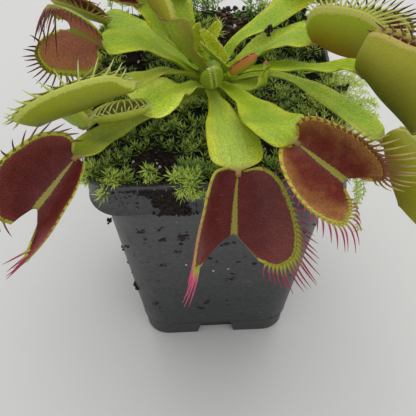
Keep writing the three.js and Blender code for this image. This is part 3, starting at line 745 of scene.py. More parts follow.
class Outline(Enum):
    """Outlines of a lobe, from the stalk's end of the midrib to its tip: along the midrib, and out."""

    ROUND = ((-0.24, 0.4), (-0.19, 0.68), (0.03, 0.87), (0.32, 0.98), (0.66, 1.06),
             (1, 1.07), (1.27, 0.96), (1.42, 0.74), (1.41, 0.46))
    FRONT_RIGHT = ((-0.05, 0.15), (-0.15, 0.4), (-0.05, 0.65), (0.25, 0.85), (0.65, 1),
                   (0.95, 1.05), (1.25, 1), (1.45, 0.75), (1.4, 0.45))
    FRONT_LEFT = ((-0.15, 0.35), (-0.15, 0.7), (0.1, 0.85), (0.45, 0.95), (0.75, 1.05),
                  (1, 1.1), (1.25, 1.1), (1.25, 0.9))
    UPPER = ((-0.1, 0.15), (-0.25, 0.45), (-0.15, 0.75), (0.2, 0.95), (0.6, 1.05),
             (0.95, 1), (1.25, 0.85), (1.4, 0.6), (1.25, 0.35))
    LOWER = ((-0.05, 0.15), (-0.2, 0.35), (-0.05, 0.7), (0.3, 1), (0.7, 1.15),
             (1.05, 1.1), (1.3, 0.95), (1.35, 0.7), (1.3, 0.4), (1.1, 0.2))
    BIG_UPPER = ((-0.1, 0.15), (-0.3, 0.3), (-0.35, 0.55), (-0.2, 0.9), (0.05, 1.05),
                 (0.45, 1.15), (0.95, 0.95), (1.35, 0.5), (1.4, 0.2))
    BIG_LOWER = ((-0.25, 0.4), (-0.2, 0.65), (0, 0.9), (0.25, 1), (0.55, 1.1),
                 (0.8, 1.1), (1.05, 1.05), (1.2, 1), (1.1, 0.75))
    SWEPT = ((-0.25, 0.2), (-0.55, 0.5), (-0.5, 0.8), (0, 1), (0.5, 1.1),
             (1, 0.95), (1.3, 0.75), (1.4, 0.45), (1.25, 0.2))
    HOOD = ((-0.25, 0.45), (-0.3, 1), (0.05, 1.3), (0.5, 1.3), (0.9, 1.2),
            (1.4, 0.85), (1.5, 0.55), (1.3, 0.3))
    CANOE = ((-0.1, 0.15), (0.05, 0.45), (0.25, 0.85), (0.5, 1), (0.8, 1.05),
             (1.05, 1), (1.25, 0.85), (1.4, 0.5), (1.25, 0.2))
    DOME = ((-0.1, 0.15), (-0.2, 0.3), (-0.25, 0.55), (-0.1, 0.7), (0.2, 0.85),
            (0.45, 1), (0.75, 1.1), (1.05, 1), (1.2, 0.75), (1.15, 0.4))


@dataclass(frozen=True)
class Lobe:
    """One lobe of a trap: the middle of its margin, its outline and its teeth, in millimetres.

    The teeth's lengths are shares of the longest at five places from the stalk round to the tip,
    gather below one crowds them towards the tip, and sweep is the way that they bend.
    """

    middle: Triple
    teeth: int = 16
    tooth: float = 6.0
    lengths: tuple[float, ...] = (0.45, 0.75, 0.9, 1.0, 0.8)
    outline: Outline = Outline.ROUND
    gather: float = 0.85
    inwards: float = 0.25
    sweep: Triple = (0.0, 0.0, 0.0)
    cilia: Cilia | None = None


@dataclass(frozen=True)
class TrapPlan:
    """Where a trap lies, in millimetres, how far it is cupped, and its teeth's finish."""

    tip: Triple
    lobes: tuple[Lobe, Lobe]
    cup: float = 0.1
    band: float = 1.7
    cilia: Cilia = Cilia()


@dataclass(frozen=True)
class LeafPlan:
    """A leaf: its stalk's path and width, its roll and fold, its trap and its finishes."""

    name: str
    path: tuple[Triple, ...]
    width: float
    trap: TrapPlan | None = None
    roll: float = 0.0
    fold: float = 0.12
    wave: float = 0.5
    small: bool = False
    strap: bool = False
    blade: LeafBlade = LIVELY
    skin: TrapSkin = TrapSkin()


# Half the width of a leaf stalk along its length, as shares of its length and its full width
STALK_PLACES = (0, 0.2, 0.4, 0.6, 0.78, 0.88, 0.93, 0.955, 0.975, 1.0)
STALK_SHARES = (0.28, 0.3, 0.48, 0.76, 0.96, 1.0, 0.9, 0.6, 0.0, 0.0)
STRAP_SHARES = (0.45, 0.62, 0.8, 0.86, 0.95, 1.0, 0.84, 0.5, 0.0, 0.0)
SPEAR_SHARES = (0.28, 0.5, 0.9, 1.0, 0.7, 0.5, 0.4, 0.32, 0.2, 0.05)
NECK = 1.15
SHARE_STEPS = 400

# Half the width and half the thickness of a tooth along its length, in millimetres
TOOTH_PLACES = (0, 0.12, 0.25, 0.7, 1)
TOOTH_WIDTHS = (0.85, 0.62, 0.36, 0.24, 0.05)
TOOTH_DEPTHS = (0.3, 0.3, 0.28, 0.2, 0.05)

LEAVES = (
    LeafPlan("leaf_front", (
        (-1, 1, 122), (0.6, -18, 131), (2, -38, 139), (3.8, -52, 143), (4, -61, 142.5)), 17,
        TrapPlan((2, -75, 131), (
            Lobe((-8, -82, 146), 20, 9, (0.12, 0.12, 0.12, 0.25, 1.2), Outline.FRONT_LEFT, 0.4,
                 sweep=(-0.45, 0.1, -0.7), cilia=PINK),
            Lobe((22, -70, 132), 26, 9.5, (0.2, 0.25, 0.4, 0.95, 0.6), Outline.FRONT_RIGHT, 0.62,
                 sweep=(0.55, 0.0, -0.35), cilia=MAGENTA))),
        blade=PALE),
    LeafPlan("leaf_front_right", (
        (2, 1, 125), (10, -23, 137), (14, -43, 147), (18, -53, 152), (22, -57, 150)), 17,
        TrapPlan((34, -71, 148.5), (
            Lobe((20, -79, 152), 24, 8, (0.15, 0.18, 0.35, 1.05, 0.2), Outline.LOWER, 0.6,
                 sweep=(-0.5, -0.4, -1.0), cilia=MAGENTA),
            Lobe((34, -69, 165), 24, 11, (0.16, 0.16, 0.2, 1.15, 0.12), Outline.UPPER, 0.68, -0.1,
                 sweep=(0.85, 0.6, 0.1), cilia=STRAW))),
        skin=AMBER_TRAP),
    LeafPlan("leaf_right_high", (
        (4, 4, 126), (12, -2, 133), (22, -11, 141.5), (30, -23, 150.5), (35, -32, 158), (39.5, -38, 163),
        (41, -46, 167)), 9,
        TrapPlan((51, -70, 165), (
            Lobe((54, -61, 185), 20, 4, (0.6, 0.8, 1.0, 1.0, 0.8), Outline.DOME),
            Lobe((60, -51, 180), 18, 4, outline=Outline.DOME)), cup=0.22, cilia=MAROON),
        strap=True, skin=BACK_PAINTED_SHADE_TRAP),
    LeafPlan("leaf_right_low", (
        (4, 7, 120), (22, 0, 129), (36, -18, 135), (46, -33, 137), (54, -42, 134)), 10,
        TrapPlan((56, -63, 127), (
            Lobe((67, -63, 138), 16, 5), Lobe((72, -54, 132), 16, 5)), cup=0.2, cilia=STRAW),
        blade=PAINTED_LIGHT_BLADE, skin=GREEN_TRAP),
    LeafPlan("leaf_back_right", (
        (4, 7, 125.5), (10, 5, 132.5), (17.5, 0.5, 139), (24, -4, 147), (28.5, -8, 151), (33, -13, 153)), 14,
        TrapPlan((46, -23, 153), (
            Lobe((41, -17, 169), 26, 10, (0.4, 0.6, 0.9, 1.1, 0.9), cilia=PALE_GREEN),
            Lobe((53, -13, 165), 20, 7, cilia=MAROON)), cup=0.16, band=3.0),
        skin=SUNNY_TRAP),
    LeafPlan("leaf_back_right_tall", (
        (2, 9, 124), (9, 16, 132), (20, 21, 136), (30, 28, 139), (41, 39, 141)), 15,
        TrapPlan((51, 36, 156), (
            Lobe((34, 33, 159)), Lobe((52, 21, 150))), cup=0.12, cilia=BROWN)),
    LeafPlan("leaf_back_right_mid", (
        (3, 7, 119), (11, 12, 125), (19, 17, 129), (25, 18, 132), (31, 19, 134), (38, 22, 136)), 9,
        small=True, blade=SUNLIT),
    LeafPlan("leaf_back_left", (
        (-3, 8, 121), (-14, 18, 127), (-24, 23, 131), (-34, 25, 134), (-41, 26, 136)), 16,
        TrapPlan((-52, 20, 146), (
            Lobe((-46, 14, 150)), Lobe((-50, 21, 151.5))), cup=0.12, cilia=BROWN),
        skin=GREEN_TRAP),
    LeafPlan("leaf_upper_left", (
        (-4, 6, 124), (-15, 2, 136), (-24, -1, 145), (-33, -4.5, 149), (-39, -6, 149)), 14,
        TrapPlan((-46, -16, 163), (
            Lobe((-53, -25, 155), 22, 7, (0.5, 0.8, 1.0, 1.0, 0.8), Outline.SWEPT, inwards=0.0,
                 sweep=(-0.35, 0.0, -0.15)),
            Lobe((-44, -21, 171), 24, 8, (0.1, 0.12, 0.35, 1.0, 1.0), Outline.HOOD, 0.6,
                 sweep=(0.1, -0.4, -1.1))), cup=0.16, band=2.6, cilia=MAROON),
        skin=ROSY_TRAP_PAINTED_LIGHT),
    LeafPlan("leaf_upright", (
        (-2, 3, 129), (-9.5, -4, 143), (-14, -12, 156), (-16.5, -16, 165), (-17.5, -17, 168)), 13.5,
        TrapPlan((-23, -12, 177), (
            Lobe((-16, -14, 174.5), 10, 1.0), Lobe((-15.5, -12, 173), 10, 1.0)),
                 cup=0.35, cilia=PALE_GREEN),
        fold=0.6, blade=HARDENED, skin=GREEN_TRAP),
    LeafPlan("leaf_back_mid_left", (
        (-2, 8, 126), (-10, 10, 133), (-17, 12, 139), (-22, 15, 146), (-25, 17, 150), (-26, 19, 151)), 9,
        TrapPlan((-37, 17, 158), (
            Lobe((-35, 9, 157), 14, 5), Lobe((-31, 16, 164), 14, 5)), cup=0.15, cilia=BROWN)),
    LeafPlan("leaf_back_mid", (
        (-1, 9, 128), (-5, 10, 135), (-8.5, 12, 141), (-10.5, 15, 147), (-12.5, 19, 151)), 9,
        TrapPlan((-15, 13, 163), (
            Lobe((-20, 9, 160), 12, 4), Lobe((-9, 12, 161), 12, 4)), cup=0.12, cilia=BROWN)),
    LeafPlan("leaf_left_mid", (
        (-4, 2.5, 123), (-10.5, -8, 131), (-17, -17, 137.5), (-22, -25, 140.5), (-26, -29.5, 140)), 18,
        TrapPlan((-37, -30, 137.5), (
            Lobe((-32, -33, 143), 12, 2),
            Lobe((-31, -29, 144), 14, 3.2, (0.7, 0.9, 1.0, 1.0, 0.9), sweep=(-0.1, -0.9, -1.2))),
                 cup=0.3, cilia=PALE_GREEN),
        roll=-4, wave=1.0, blade=SUNLIT, skin=LIME_TRAP),
    LeafPlan("leaf_left_long", (
        (-5, 2.8, 126.3), (-10, -4.2, 134.5), (-16, -12, 142), (-22, -22, 149), (-26, -29, 153),
        (-29, -36, 155)), 8,
        TrapPlan((-54, -43, 150), (
            Lobe((-40, -42, 165), 14, 5, (0.3, 0.9, 1.0, 0.9, 0.6), Outline.CANOE,
                 sweep=(0.1, 0.1, 0.4)),
            Lobe((-41, -37, 161), 15, 6.5, (0.3, 0.9, 1.0, 0.9, 0.5), Outline.CANOE,
                 sweep=(0.1, 0.1, 0.4))), cup=0.25, band=2.2, cilia=PALE_GREEN),
        blade=OLIVE, skin=CANOE_TRAP),
    LeafPlan("leaf_left_small", (
        (-5, 7, 118), (-19, -2, 122.5), (-33, -13, 128), (-42, -23, 131.5), (-46, -29.5, 133)), 4,
        TrapPlan((-53, -25, 133.5), (
            Lobe((-47, -27, 140), 9, 3), Lobe((-46, -21, 137.5), 9, 3)), cup=0.15, cilia=PALE_GREEN),
        small=True, blade=OLIVE, skin=LIME_TRAP),
    LeafPlan("leaf_left_big", (
        (-4, 3, 119), (-18, -9, 122), (-29, -18, 125), (-36, -26, 128), (-42, -38, 134), (-46, -51, 141)),
        12,
        TrapPlan((-57, -67, 137), (
            Lobe((-64, -64, 151.5), 20, 6, (0.4, 0.7, 0.9, 1.0, 0.9), Outline.BIG_UPPER,
                 sweep=(0.2, 0.0, 0.3), cilia=MAROON),
            Lobe((-50.5, -78, 142), 20, 6, (0.1, 0.1, 0.25, 0.8, 1.0), Outline.BIG_LOWER, 0.7,
                 sweep=(-0.4, 0.0, -0.35), cilia=MAGENTA))),
        blade=OLIVE, skin=RED_TRAP),
    LeafPlan("leaf_young_back", (
        (-1, 7, 128), (-4, 6, 133), (-5, 6, 136)), 4,
        TrapPlan((-3, 10, 141), (
            Lobe((-8, 4, 143), 7, 0.8), Lobe((2, 8, 141), 7, 0.8)), band=0.8, cilia=PALE_GREEN),
        small=True, skin=YOUNG_TRAP),
    LeafPlan("leaf_young_mid", (
        (1, 3, 128), (4, 0, 132), (4, -1, 135)), 4,
        TrapPlan((-2, 0, 141), (
            Lobe((1, 2, 144), 8, 0.9), Lobe((1, -6, 143), 8, 0.9)), band=0.8, cilia=PALE_GREEN),
        small=True, skin=YOUNG_TRAP),
    LeafPlan("leaf_young_red", (
        (3, 0, 128), (5.5, -3.5, 132.5), (7, -7, 135.5)), 4,
        TrapPlan((12.5, -7.8, 140), (
            Lobe((9.2, -8.4, 142.6), 4, 0.4), Lobe((9.3, -8.5, 142.6), 4, 0.4)),
                 cup=0.42, band=0.4, cilia=PALE_GREEN),
        small=True, skin=ORANGE_TRAP),
    LeafPlan("leaf_young_green", (
        (4, 3, 123), (10, -4.5, 128.5), (14, -9.5, 132), (17, -11.5, 135), (17.5, -12, 140),
        (17.5, -12, 145)), 8, small=True, blade=PAINTED_LIGHT_BLADE),
    LeafPlan("leaf_young_olive", (
        (-1, 2, 127), (-1, -7, 132), (-1, -12, 135)), 4,
        TrapPlan((-2, -15, 143), (
            Lobe((-0.9, -18.5, 143), 12, 2.0),
            Lobe((-1.2, -18.6, 142.9), 12, 2.0)), cup=0.6, band=0.6, cilia=PALE_GREEN),
        small=True, skin=BUD_TRAP),
    LeafPlan("leaf_dry", (
        (-3.3, 4.0, 129.6), (-6.0, 4.6, 132.6), (-7.4, 6.5, 134), (-7.6, 9, 134.5)), 5, small=True,
        blade=DRIED),
)


@dataclass
class Leaf:
    """One leaf of the rosette, from its place on the crown to the teeth of its trap."""

    plan: LeafPlan
    stations: int = 72
    across: int = 17
    lengthwise: int = 56
    outward: int = 16
    blade_thick: float = 0.45
    edge_thick: float = 0.1
    lobe_thick: float = 0.42
    groove: float = 0.35
    rib: float = 0.8
    outline_steps: int = 200
    tooth_steps: int = 9
    tooth_root: float = 0.8
    trigger: float = 1.9
    trigger_radius: float = 0.1
    trigger_places: tuple[tuple[float, float], ...] = ((0.36, 0.42), (0.5, 0.56), (0.64, 0.42))

    def __post_init__(self) -> None:
        """Give small leaves fewer faces and finer details, and every leaf its own luck."""
        self.scale = 0.6 if self.plan.small else 1.0
        if self.plan.small:
            self.stations, self.across, self.lengthwise, self.outward = 36, 11, 30, 9
        self.luck = random.Random(self.plan.name)

    def spine(self) -> np.ndarray:
        """Lay out the stalk's middle line.

        Returns:
            Evenly spaced points from the crown to just inside the trap.
        """
        points = np.array(self.plan.path, float)
        if self.plan.trap:
            into = unit(np.array(self.plan.trap.tip) - points[-1]) * 1.5
            points = np.concatenate([points, [points[-1] + into]])
        return smooth_path(points, self.stations)

    def half_widths(self) -> np.ndarray:
        """Work out the blade's width.

        Returns:
            Half the width at each station.
        """
        s = np.linspace(0, 1, self.stations)
        fine = np.linspace(0, 1, SHARE_STEPS)
        shares = STRAP_SHARES if self.plan.strap else STALK_SHARES if self.plan.trap else SPEAR_SHARES
        kernel = np.hanning(19)
        padded = np.pad(np.interp(fine, STALK_PLACES, shares), len(kernel) // 2, mode="edge")
        soft = np.convolve(padded, kernel / kernel.sum(), mode="valid")
        return np.interp(s, fine, soft) * self.plan.width / 2

    def stalk(self) -> Shape:
        """Build the winged stalk.

        Returns:
            A closed blade with a groove above, a rib beneath, wavy edges and a round neck.
        """
        plan = self.plan
        spine = self.spine()
        s = np.linspace(0, 1, self.stations)
        tangent = unit(np.gradient(spine, axis=0))
        side = unit(np.cross(tangent, UP))
        normal = unit(np.cross(side, tangent))
        roll = math.radians(plan.roll)
        side, normal = (side * math.cos(roll) + normal * -math.sin(roll),
                        normal * math.cos(roll) + side * math.sin(roll))
        wing = self.half_widths()
        neck = NECK if plan.trap else 0.3
        half = np.maximum(wing, neck * (0.7 if plan.small else 1.0))
        rounded = np.clip(1 - (wing - 0.5) / 1.6, 0, 1) * (s > 0.5)
        t = np.linspace(-1, 1, self.across)
        flat = np.abs(t) ** 2.2
        phase = self.luck.uniform(0, 6)
        waves = plan.wave * np.sin(s[:, None] * 17 + np.where(t < 0, phase, phase + 2)) * flat
        ends = (np.sin(math.pi * np.clip(s * 1.05, 0, 1)) ** 0.7)[:, None]
        waves = waves * ends * (1 - rounded[:, None])
        lift = flat * half[:, None] * plan.fold * (1 - rounded[:, None]) + waves
        body = np.sqrt(np.maximum(1 - np.abs(t) ** 4, 0))
        round_body = np.sqrt(np.maximum(1 - t**2, 0)) * half[:, None]
        sheet = self.edge_thick + (self.blade_thick - self.edge_thick) * body
        thick = sheet + (np.maximum(round_body, 0.02) - sheet) * rounded[:, None]
        middle = np.exp(-(t * half[:, None] / 0.7) ** 2) * (1 - rounded[:, None])
        top = lift + thick - self.groove * middle
        low = lift - thick - self.rib * middle
        centre = spine[:, None] + side[:, None] * (t * half[:, None])[..., None]
        upper = centre + normal[:, None] * top[..., None]
        lower = centre + normal[:, None] * low[..., None]
        shape = lofted(np.concatenate([upper, lower[:, ::-1]], axis=1))
        out = np.concatenate([t, t[::-1]])
        shape.values = {
            "across": np.concatenate([np.tile(out, self.stations), [0, 0]]),
            "along": np.concatenate([np.repeat(s, len(out)), [0, 1]]),
        }
        return shape.marked(0)

    def lobe_place(self, side: int, a: np.ndarray, b: np.ndarray) -> np.ndarray:
        """Find points on the middle surface of a lobe.

        Args:
            side: Which lobe, 0 or 1.
            a: Share of the way round the lobe's outline, from the stalk to the tip.
            b: Share of the way out from the midrib to the margin.

        Returns:
            The points.
        """
        trap = self.plan.trap
        start, tip = np.array(self.plan.path[-1], float), np.array(trap.tip, float)
        rib = tip - start
        reach = [np.array(lobe.middle, float) - (start + tip) / 2 for lobe in trap.lobes]
        opening = unit(reach[0]) + unit(reach[1])
        opening = unit(opening - rib * (opening @ rib) / (rib @ rib))
        out = reach[side]
        outward = unit(np.cross(rib, out))
        if outward @ reach[1 - side] > 0:
            outward = -outward
        outline = smooth_path(np.array(trap.lobes[side].outline.value), self.outline_steps)
        places = np.linspace(0, 1, self.outline_steps)
        u = np.interp(a, places, outline[:, 0])
        v = np.interp(a, places, outline[:, 1])
        bulge = trap.cup * np.linalg.norm(out) * np.sin(math.pi * b) * (0.55 + 0.45 * np.sin(math.pi * a))
        return (start + rib * ((1 - b) * a + b * u)[..., None] + out * (v * b)[..., None]
                - opening * (0.8 * np.sin(math.pi * a) * (1 - b))[..., None] + outward * bulge[..., None])

    def lobes(self) -> Shape:
        """Build the two lobes as one cupped sheet.

        Returns:
            A closed shape with the values that the skin's finish reads.
        """
        trap = self.plan.trap
        a = np.linspace(0, 1, self.lengthwise)
        b = np.linspace(0, 1, self.outward + 1)
        grid_a, grid_b = np.meshgrid(a, b, indexing="ij")
        left = self.lobe_place(0, grid_a, grid_b)[:, ::-1]
        right = self.lobe_place(1, grid_a, grid_b)[:, 1:]
        sheet = np.concatenate([left, right], axis=1)
        t = np.concatenate([-b[::-1], b[1:]])
        width = sheet.shape[1]
        mid = self.outward
        for _ in range(5):
            near = slice(mid - 2, mid + 3)
            before, beyond = sheet[:, mid - 3:mid + 2], sheet[:, mid - 1:mid + 4]
            sheet[:, near] = (before + 2 * sheet[:, near] + beyond) / 4
        normal = unit(np.cross(np.gradient(sheet, axis=0), np.gradient(sheet, axis=1)))
        start, tip = np.array(self.plan.path[-1], float), np.array(trap.tip, float)
        opening = np.array(trap.lobes[0].middle) + np.array(trap.lobes[1].middle) - start - tip
        if (normal[:, mid] @ opening).mean() < 0:
            normal = -normal
        scale = self.scale
        far = np.abs(t)
        reach = np.linalg.norm(sheet - sheet[:, mid:mid + 1], axis=2)
        total = np.where(t[None] < 0, reach[:, :1], reach[:, -1:])
        edge = total * (1 - far)
        thick = self.lobe_thick * scale * np.sqrt(np.clip(edge / 2.2, 0.05, 1))
        swell = np.sin(math.pi * np.clip(a, 0.02, 0.9))[:, None]
        keel = np.exp(-(reach / (1.1 * scale)) ** 2) * self.rib * scale * swell
        # The margin flares back a little
        flare = 0.35 * scale * np.clip(1 - edge / 2.5, 0, 1) ** 2
        inner = sheet + normal * (thick - flare)[..., None]
        outer = sheet - normal * (thick + flare + keel)[..., None]
        points = np.concatenate([inner.reshape(-1, 3), outer.reshape(-1, 3)])
        rows, count = self.lengthwise, self.lengthwise * width
        faces = grid_faces(rows, width)
        border = np.concatenate([
            np.arange(width), np.arange(1, rows) * width + width - 1,
            (rows - 1) * width + np.arange(width - 2, -1, -1), np.arange(rows - 2, 0, -1) * width])
        after = np.roll(border, -1)
        rim = np.stack([border, after, after + count, border + count], axis=1)
        stripe_half = (0.2 + 1.3 * a)[:, None] * scale
        values = {
            "across": np.tile(np.broadcast_to(far, (rows, width)).ravel(), 2),
            "along": np.tile(np.repeat(a, width), 2),
            "inside": np.repeat([1.0, 0.0], count),
            "band": np.tile(np.clip(1 - edge / trap.band, 0, 1).ravel(), 2),
            "stripe": np.tile(np.clip(1 - reach / (2 * stripe_half), 0, 1).ravel(), 2),
        }
        return Shape(points, [faces[:, ::-1], faces + count, rim], values).marked(1)

    def tooth_lines(self) -> list[tuple[int, np.ndarray, np.ndarray]]:
        """Lay out the stiff teeth of both margins.

        Returns:
            For each tooth its side, the points along it and the direction of the margin at its root.
        """
        trap = self.plan.trap
        deep = self.tooth_root * self.scale
        s = np.linspace(0, 1, self.tooth_steps)
        made = []
        for side, lobe in enumerate(trap.lobes):
            for k in range(lobe.teeth):
                a = 0.02 + 0.95 * ((k + 0.6) / (lobe.teeth + 0.2)) ** lobe.gather
                edge = self.lobe_place(side, np.array([a, a - 0.02, a + 0.02]), np.ones(3))
                root, run = edge[0], unit(edge[2] - edge[1])
                inner = self.lobe_place(side, np.array([0.7 * a + 0.15]), np.array([0.8]))[0]
                other = self.lobe_place(1 - side, np.array([a]), np.array([0.6]))[0]
                grow = unit(root - inner)
                within = other - root
                within = unit(within - grow * (within @ grow) - run * (within @ run))
                grow = unit(grow + within * lobe.inwards + run * self.luck.uniform(-0.08, 0.08))
                share = np.interp(a, np.linspace(0, 1, 5), lobe.lengths)
                length = lobe.tooth * share * self.luck.uniform(0.9, 1.08)
                bend = within * 0.15 + np.array(lobe.sweep) + run * self.luck.uniform(-0.06, 0.06)
                path = (root - grow * deep + grow * ((length + deep) * s)[:, None]
                        + bend * (length * 0.75 * s**2)[:, None])
                made.append((side, path, run))
        return made

    def teeth(self) -> list[Shape]:
        """Build the stiff teeth of both margins.

        Returns:
            One tapered, curved shape for each tooth, broad where it leaves the margin.
        """
        s = np.linspace(0, 1, self.tooth_steps)
        wide = np.interp(s, TOOTH_PLACES, TOOTH_WIDTHS) * self.scale
        thick = np.interp(s, TOOTH_PLACES, TOOTH_DEPTHS) * self.scale
        return [tube(path, wide, thick, run, 6, {"reach": s}).marked(2 + side)
                for side, path, run in self.tooth_lines()]

    def triggers(self) -> list[Shape]:
        """Build the three hairs on each lobe that feel for prey.

        Returns:
            One thin spike for each hair.
        """
        made = []
        s = np.linspace(0, 1, 4)
        radius = self.trigger_radius * (1 - 0.8 * s)
        for side in (0, 1):
            for a, b in self.trigger_places:
                here = self.lobe_place(side, np.array([a, a + 0.02, a]), np.array([b, b, b + 0.02]))
                run = unit(here[1] - here[0])
                away = unit(np.cross(here[1] - here[0], here[2] - here[0]))
                if away @ (self.lobe_place(1 - side, np.array([a]), np.array([b]))[0] - here[0]) < 0:
                    away = -away
                path = here[0] + away * (self.trigger * s)[:, None]
                made.append(tube(path, radius, radius, run, 5, {"reach": s}).marked(2))
        return made

    def build(self) -> bpy.types.Object:
        """Build the leaf and stand it in for its solid.

        Returns:
            The leaf's object.
        """
        shapes = [self.stalk()]
        if self.plan.trap:
            shapes.append(self.lobes())
            shapes += self.teeth()
            if not self.plan.small:
                shapes += self.triggers()
        finishes = [self.plan.blade]
        if self.plan.trap:
            trap = self.plan.trap
            finishes += [self.plan.skin, *(lobe.cilia or trap.cilia for lobe in trap.lobes)]
        materials = [Wardrobe.get(finish) for finish in finishes]
        piece = make_object(self.plan.name + "_grown", joined(shapes), materials)
        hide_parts(self.plan.name)
        return piece


class Wardrobe:
    """Keeps each finish that has been made, so that leaves can share it."""

    made: dict[str, bpy.types.Material] = {}

    @classmethod
    def get(cls, finish: LeafBlade | TrapSkin | Cilia) -> bpy.types.Material:
        """Find a finish's material, made on its first use.

        Args:
            finish: The finish.

        Returns:
            Its material.
        """
        if finish.name not in cls.made:
            cls.made[finish.name] = finish.make()
        return cls.made[finish.name]


# Pot


def square_ring(width: float, radius: float, z: float, corner: int = 12, edge: int = 10) -> np.ndarray:
    """Return a level outline of a square with round corners.

    Args:
        width: The square's width.
        radius: Radius of its corners.
        z: Its height.
        corner: Steps round each corner.
        edge: Steps along each straight edge.

    Returns:
        Points anticlockwise from the right edge's front end.
    """
    h = width / 2
    inner = h - radius
    points = []
    for quarter in range(4):
        turn = quarter * math.pi / 2
        cos, sin = math.cos(turn), math.sin(turn)
        run = [(h, -inner + 2 * inner * k / edge) for k in range(edge)]
        arc = [(inner + radius * math.cos(f), inner + radius * math.sin(f))
               for f in np.linspace(0, math.pi / 2, corner, endpoint=False)]
        points += [(x * cos - y * sin, x * sin + y * cos, z) for x, y in run + arc]
    return np.array(points)


@dataclass
class Pot:
    """A thin square nursery pot: tapered body, stepped foot, overhanging rim band, drain notches."""

    rim_width: float = 94.0
    rim_radius: float = 12.0
    height: float = 121.0
    band: float = 15.4
    body_top: float = 85.0
    body_radius: float = 11.0
    base_width: float = 64.0
    foot_width: float = 63.8
    foot_height: float = 10.0
    wall: float = 1.6
    floor: float = 12.0
    well: float = 57.0
    notch_bottom: float = 17.0
    notch_top: float = 13.4
    notch_height: float = 9.6
    notch_depth: float = 2.6
    sharp_angle: float = 42.0

    def body_width(self, z: float) -> float:
        """Return the body's width at a height between its base and the rim band."""
        return self.base_width + (self.body_top - self.base_width) * z / (self.height - self.band)

    def underneath(self) -> list[Triple]:
        """List the outlines from the well's underside out along the drain channel to the foot.

        Returns:
            Each one's width, corner radius and height.
        """
        foot, wall, r = self.foot_width, self.wall, self.body_radius - self.wall
        ceiling = self.floor - wall
        return [
            (self.well - 1.2, r, 0.0), (self.well, r, 0.6), (self.well, r, ceiling - 0.4),
            (self.well + 0.8, r, ceiling), (foot - 2 * wall, r, ceiling), (foot - 2 * wall, r, 0.5),
            (foot - 1.6 * wall, r, 0.0), (foot - 1.4, r + 0.4, 0.0),
        ]

    def outside(self) -> list[Triple]:
        """List the outlines from the foot up to the rim.

        Returns:
            Each one's width, corner radius and height.
        """
        low, foot, r, top = self.height - self.band, self.foot_width, self.body_radius, self.foot_height
        rim, corner, brim = self.rim_width, self.rim_radius, self.height
        body = [(self.body_width(z), r + (z - top) / (low - top), z)
                for z in np.linspace(top + 2, low - 3, 14)]
        return [
            (foot - 0.5, r - 1, 0.4), (foot, r - 1, 1.2), (foot + 0.9, r - 0.6, top - 0.5),
            (foot + 1.4, r - 0.4, top), (self.body_width(top) + 0.3, r, top + 0.25),
            (self.body_width(top + 1), r, top + 1), *body,
            (self.body_width(low - 1), r + 1, low - 1.0), (self.body_top, r + 1, low - 0.4),
            (rim - 2.4, corner - 0.6, low - 0.2), (rim - 1.0, corner, low + 0.2),
            (rim - 0.4, corner, low + 0.7), (rim - 0.5, corner, low + 1.1), (rim - 1.3, corner, low + 1.9),
            (rim - 0.9, corner, low + 6), (rim - 0.3, corner, brim - 2), (rim, corner, brim - 1.0),
            (rim - 0.3, corner, brim - 0.3), (rim - 1.0, corner - 0.4, brim),
        ]

    def inside(self) -> list[Triple]:
        """List the outlines from the rim down to the bottom of the well.

        Returns:
            Each one's width, corner radius and height.
        """
        low, wall, r = self.height - self.band, self.wall, self.body_radius - self.wall
        rim, corner = self.rim_width - 2 * wall, self.rim_radius - wall
        return [
            (rim + 0.6, corner, self.height - 0.1), (rim, corner, self.height - 0.8),
            (rim - 0.4 * wall, corner, low + 3 * wall), (self.body_top - 2 * wall, r + 1, low + 2 * wall),
            (self.body_width(self.floor) - 2 * wall, r, self.floor + 0.6),
            (self.body_width(self.floor) - 2 * wall - 1.2, r, self.floor),
            (self.well - 2 * wall, r, self.floor), (self.well - 2 * wall, r, wall),
        ]

    def build(self) -> bpy.types.Object:
        """Build the pot and stand it in for its solid.

        Returns:
            The pot's object, with a notch cut through the foot of each side.
        """
        rings = [square_ring(*sizes) for sizes in self.underneath() + self.outside() + self.inside()]
        shell = make_object("pot_shell", lofted(rings), [Polypropylene().make()])
        reach = self.foot_width / 2 + 1
        ends = [(self.notch_bottom / 2 + 0.2, -1.0), (self.notch_top / 2, self.notch_height)]
        boxes = []
        for turn in range(4):
            c, s = round(math.cos(turn * math.pi / 2)), round(math.sin(turn * math.pi / 2))
            boxes.append(lofted([np.array([
                (x * c - y * s, x * s + y * c, z)
                for x, y in ((reach - self.notch_depth, -half), (reach + self.notch_depth, -half),
                             (reach + self.notch_depth, half), (reach - self.notch_depth, half))
            ]) for half, z in ends]))
        cutter = make_cutter(joined(boxes))
        cut = shell.modifiers.new("notches", "BOOLEAN")
        cut.object, cut.operation, cut.solver = cutter, "DIFFERENCE", "EXACT"
        bpy.context.view_layer.update()
        graph = bpy.context.evaluated_depsgraph_get()
        mesh = bpy.data.meshes.new_from_object(shell.evaluated_get(graph))
        shell.modifiers.clear()
        shell.data = mesh
        mesh.set_sharp_from_angle(angle=math.radians(self.sharp_angle))
        bpy.data.objects.remove(cutter)
        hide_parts("pot")
        return shell


def make_cutter(shape: Shape) -> bpy.types.Object:
    """Make a bare object for a cut, which is removed afterwards.

    Args:
        shape: What to cut away, in millimetres.

    Returns:
        The object.
    """
    mesh = bpy.data.meshes.new("cutter")
    faces = [tuple(int(k) for k in face) for part in shape.faces for face in part]
    mesh.from_pydata([tuple(p) for p in shape.points * MM], [], faces)
    cutter = bpy.data.objects.new("cutter", mesh)
    bpy.context.collection.objects.link(cutter)
    return cutter


# Ground


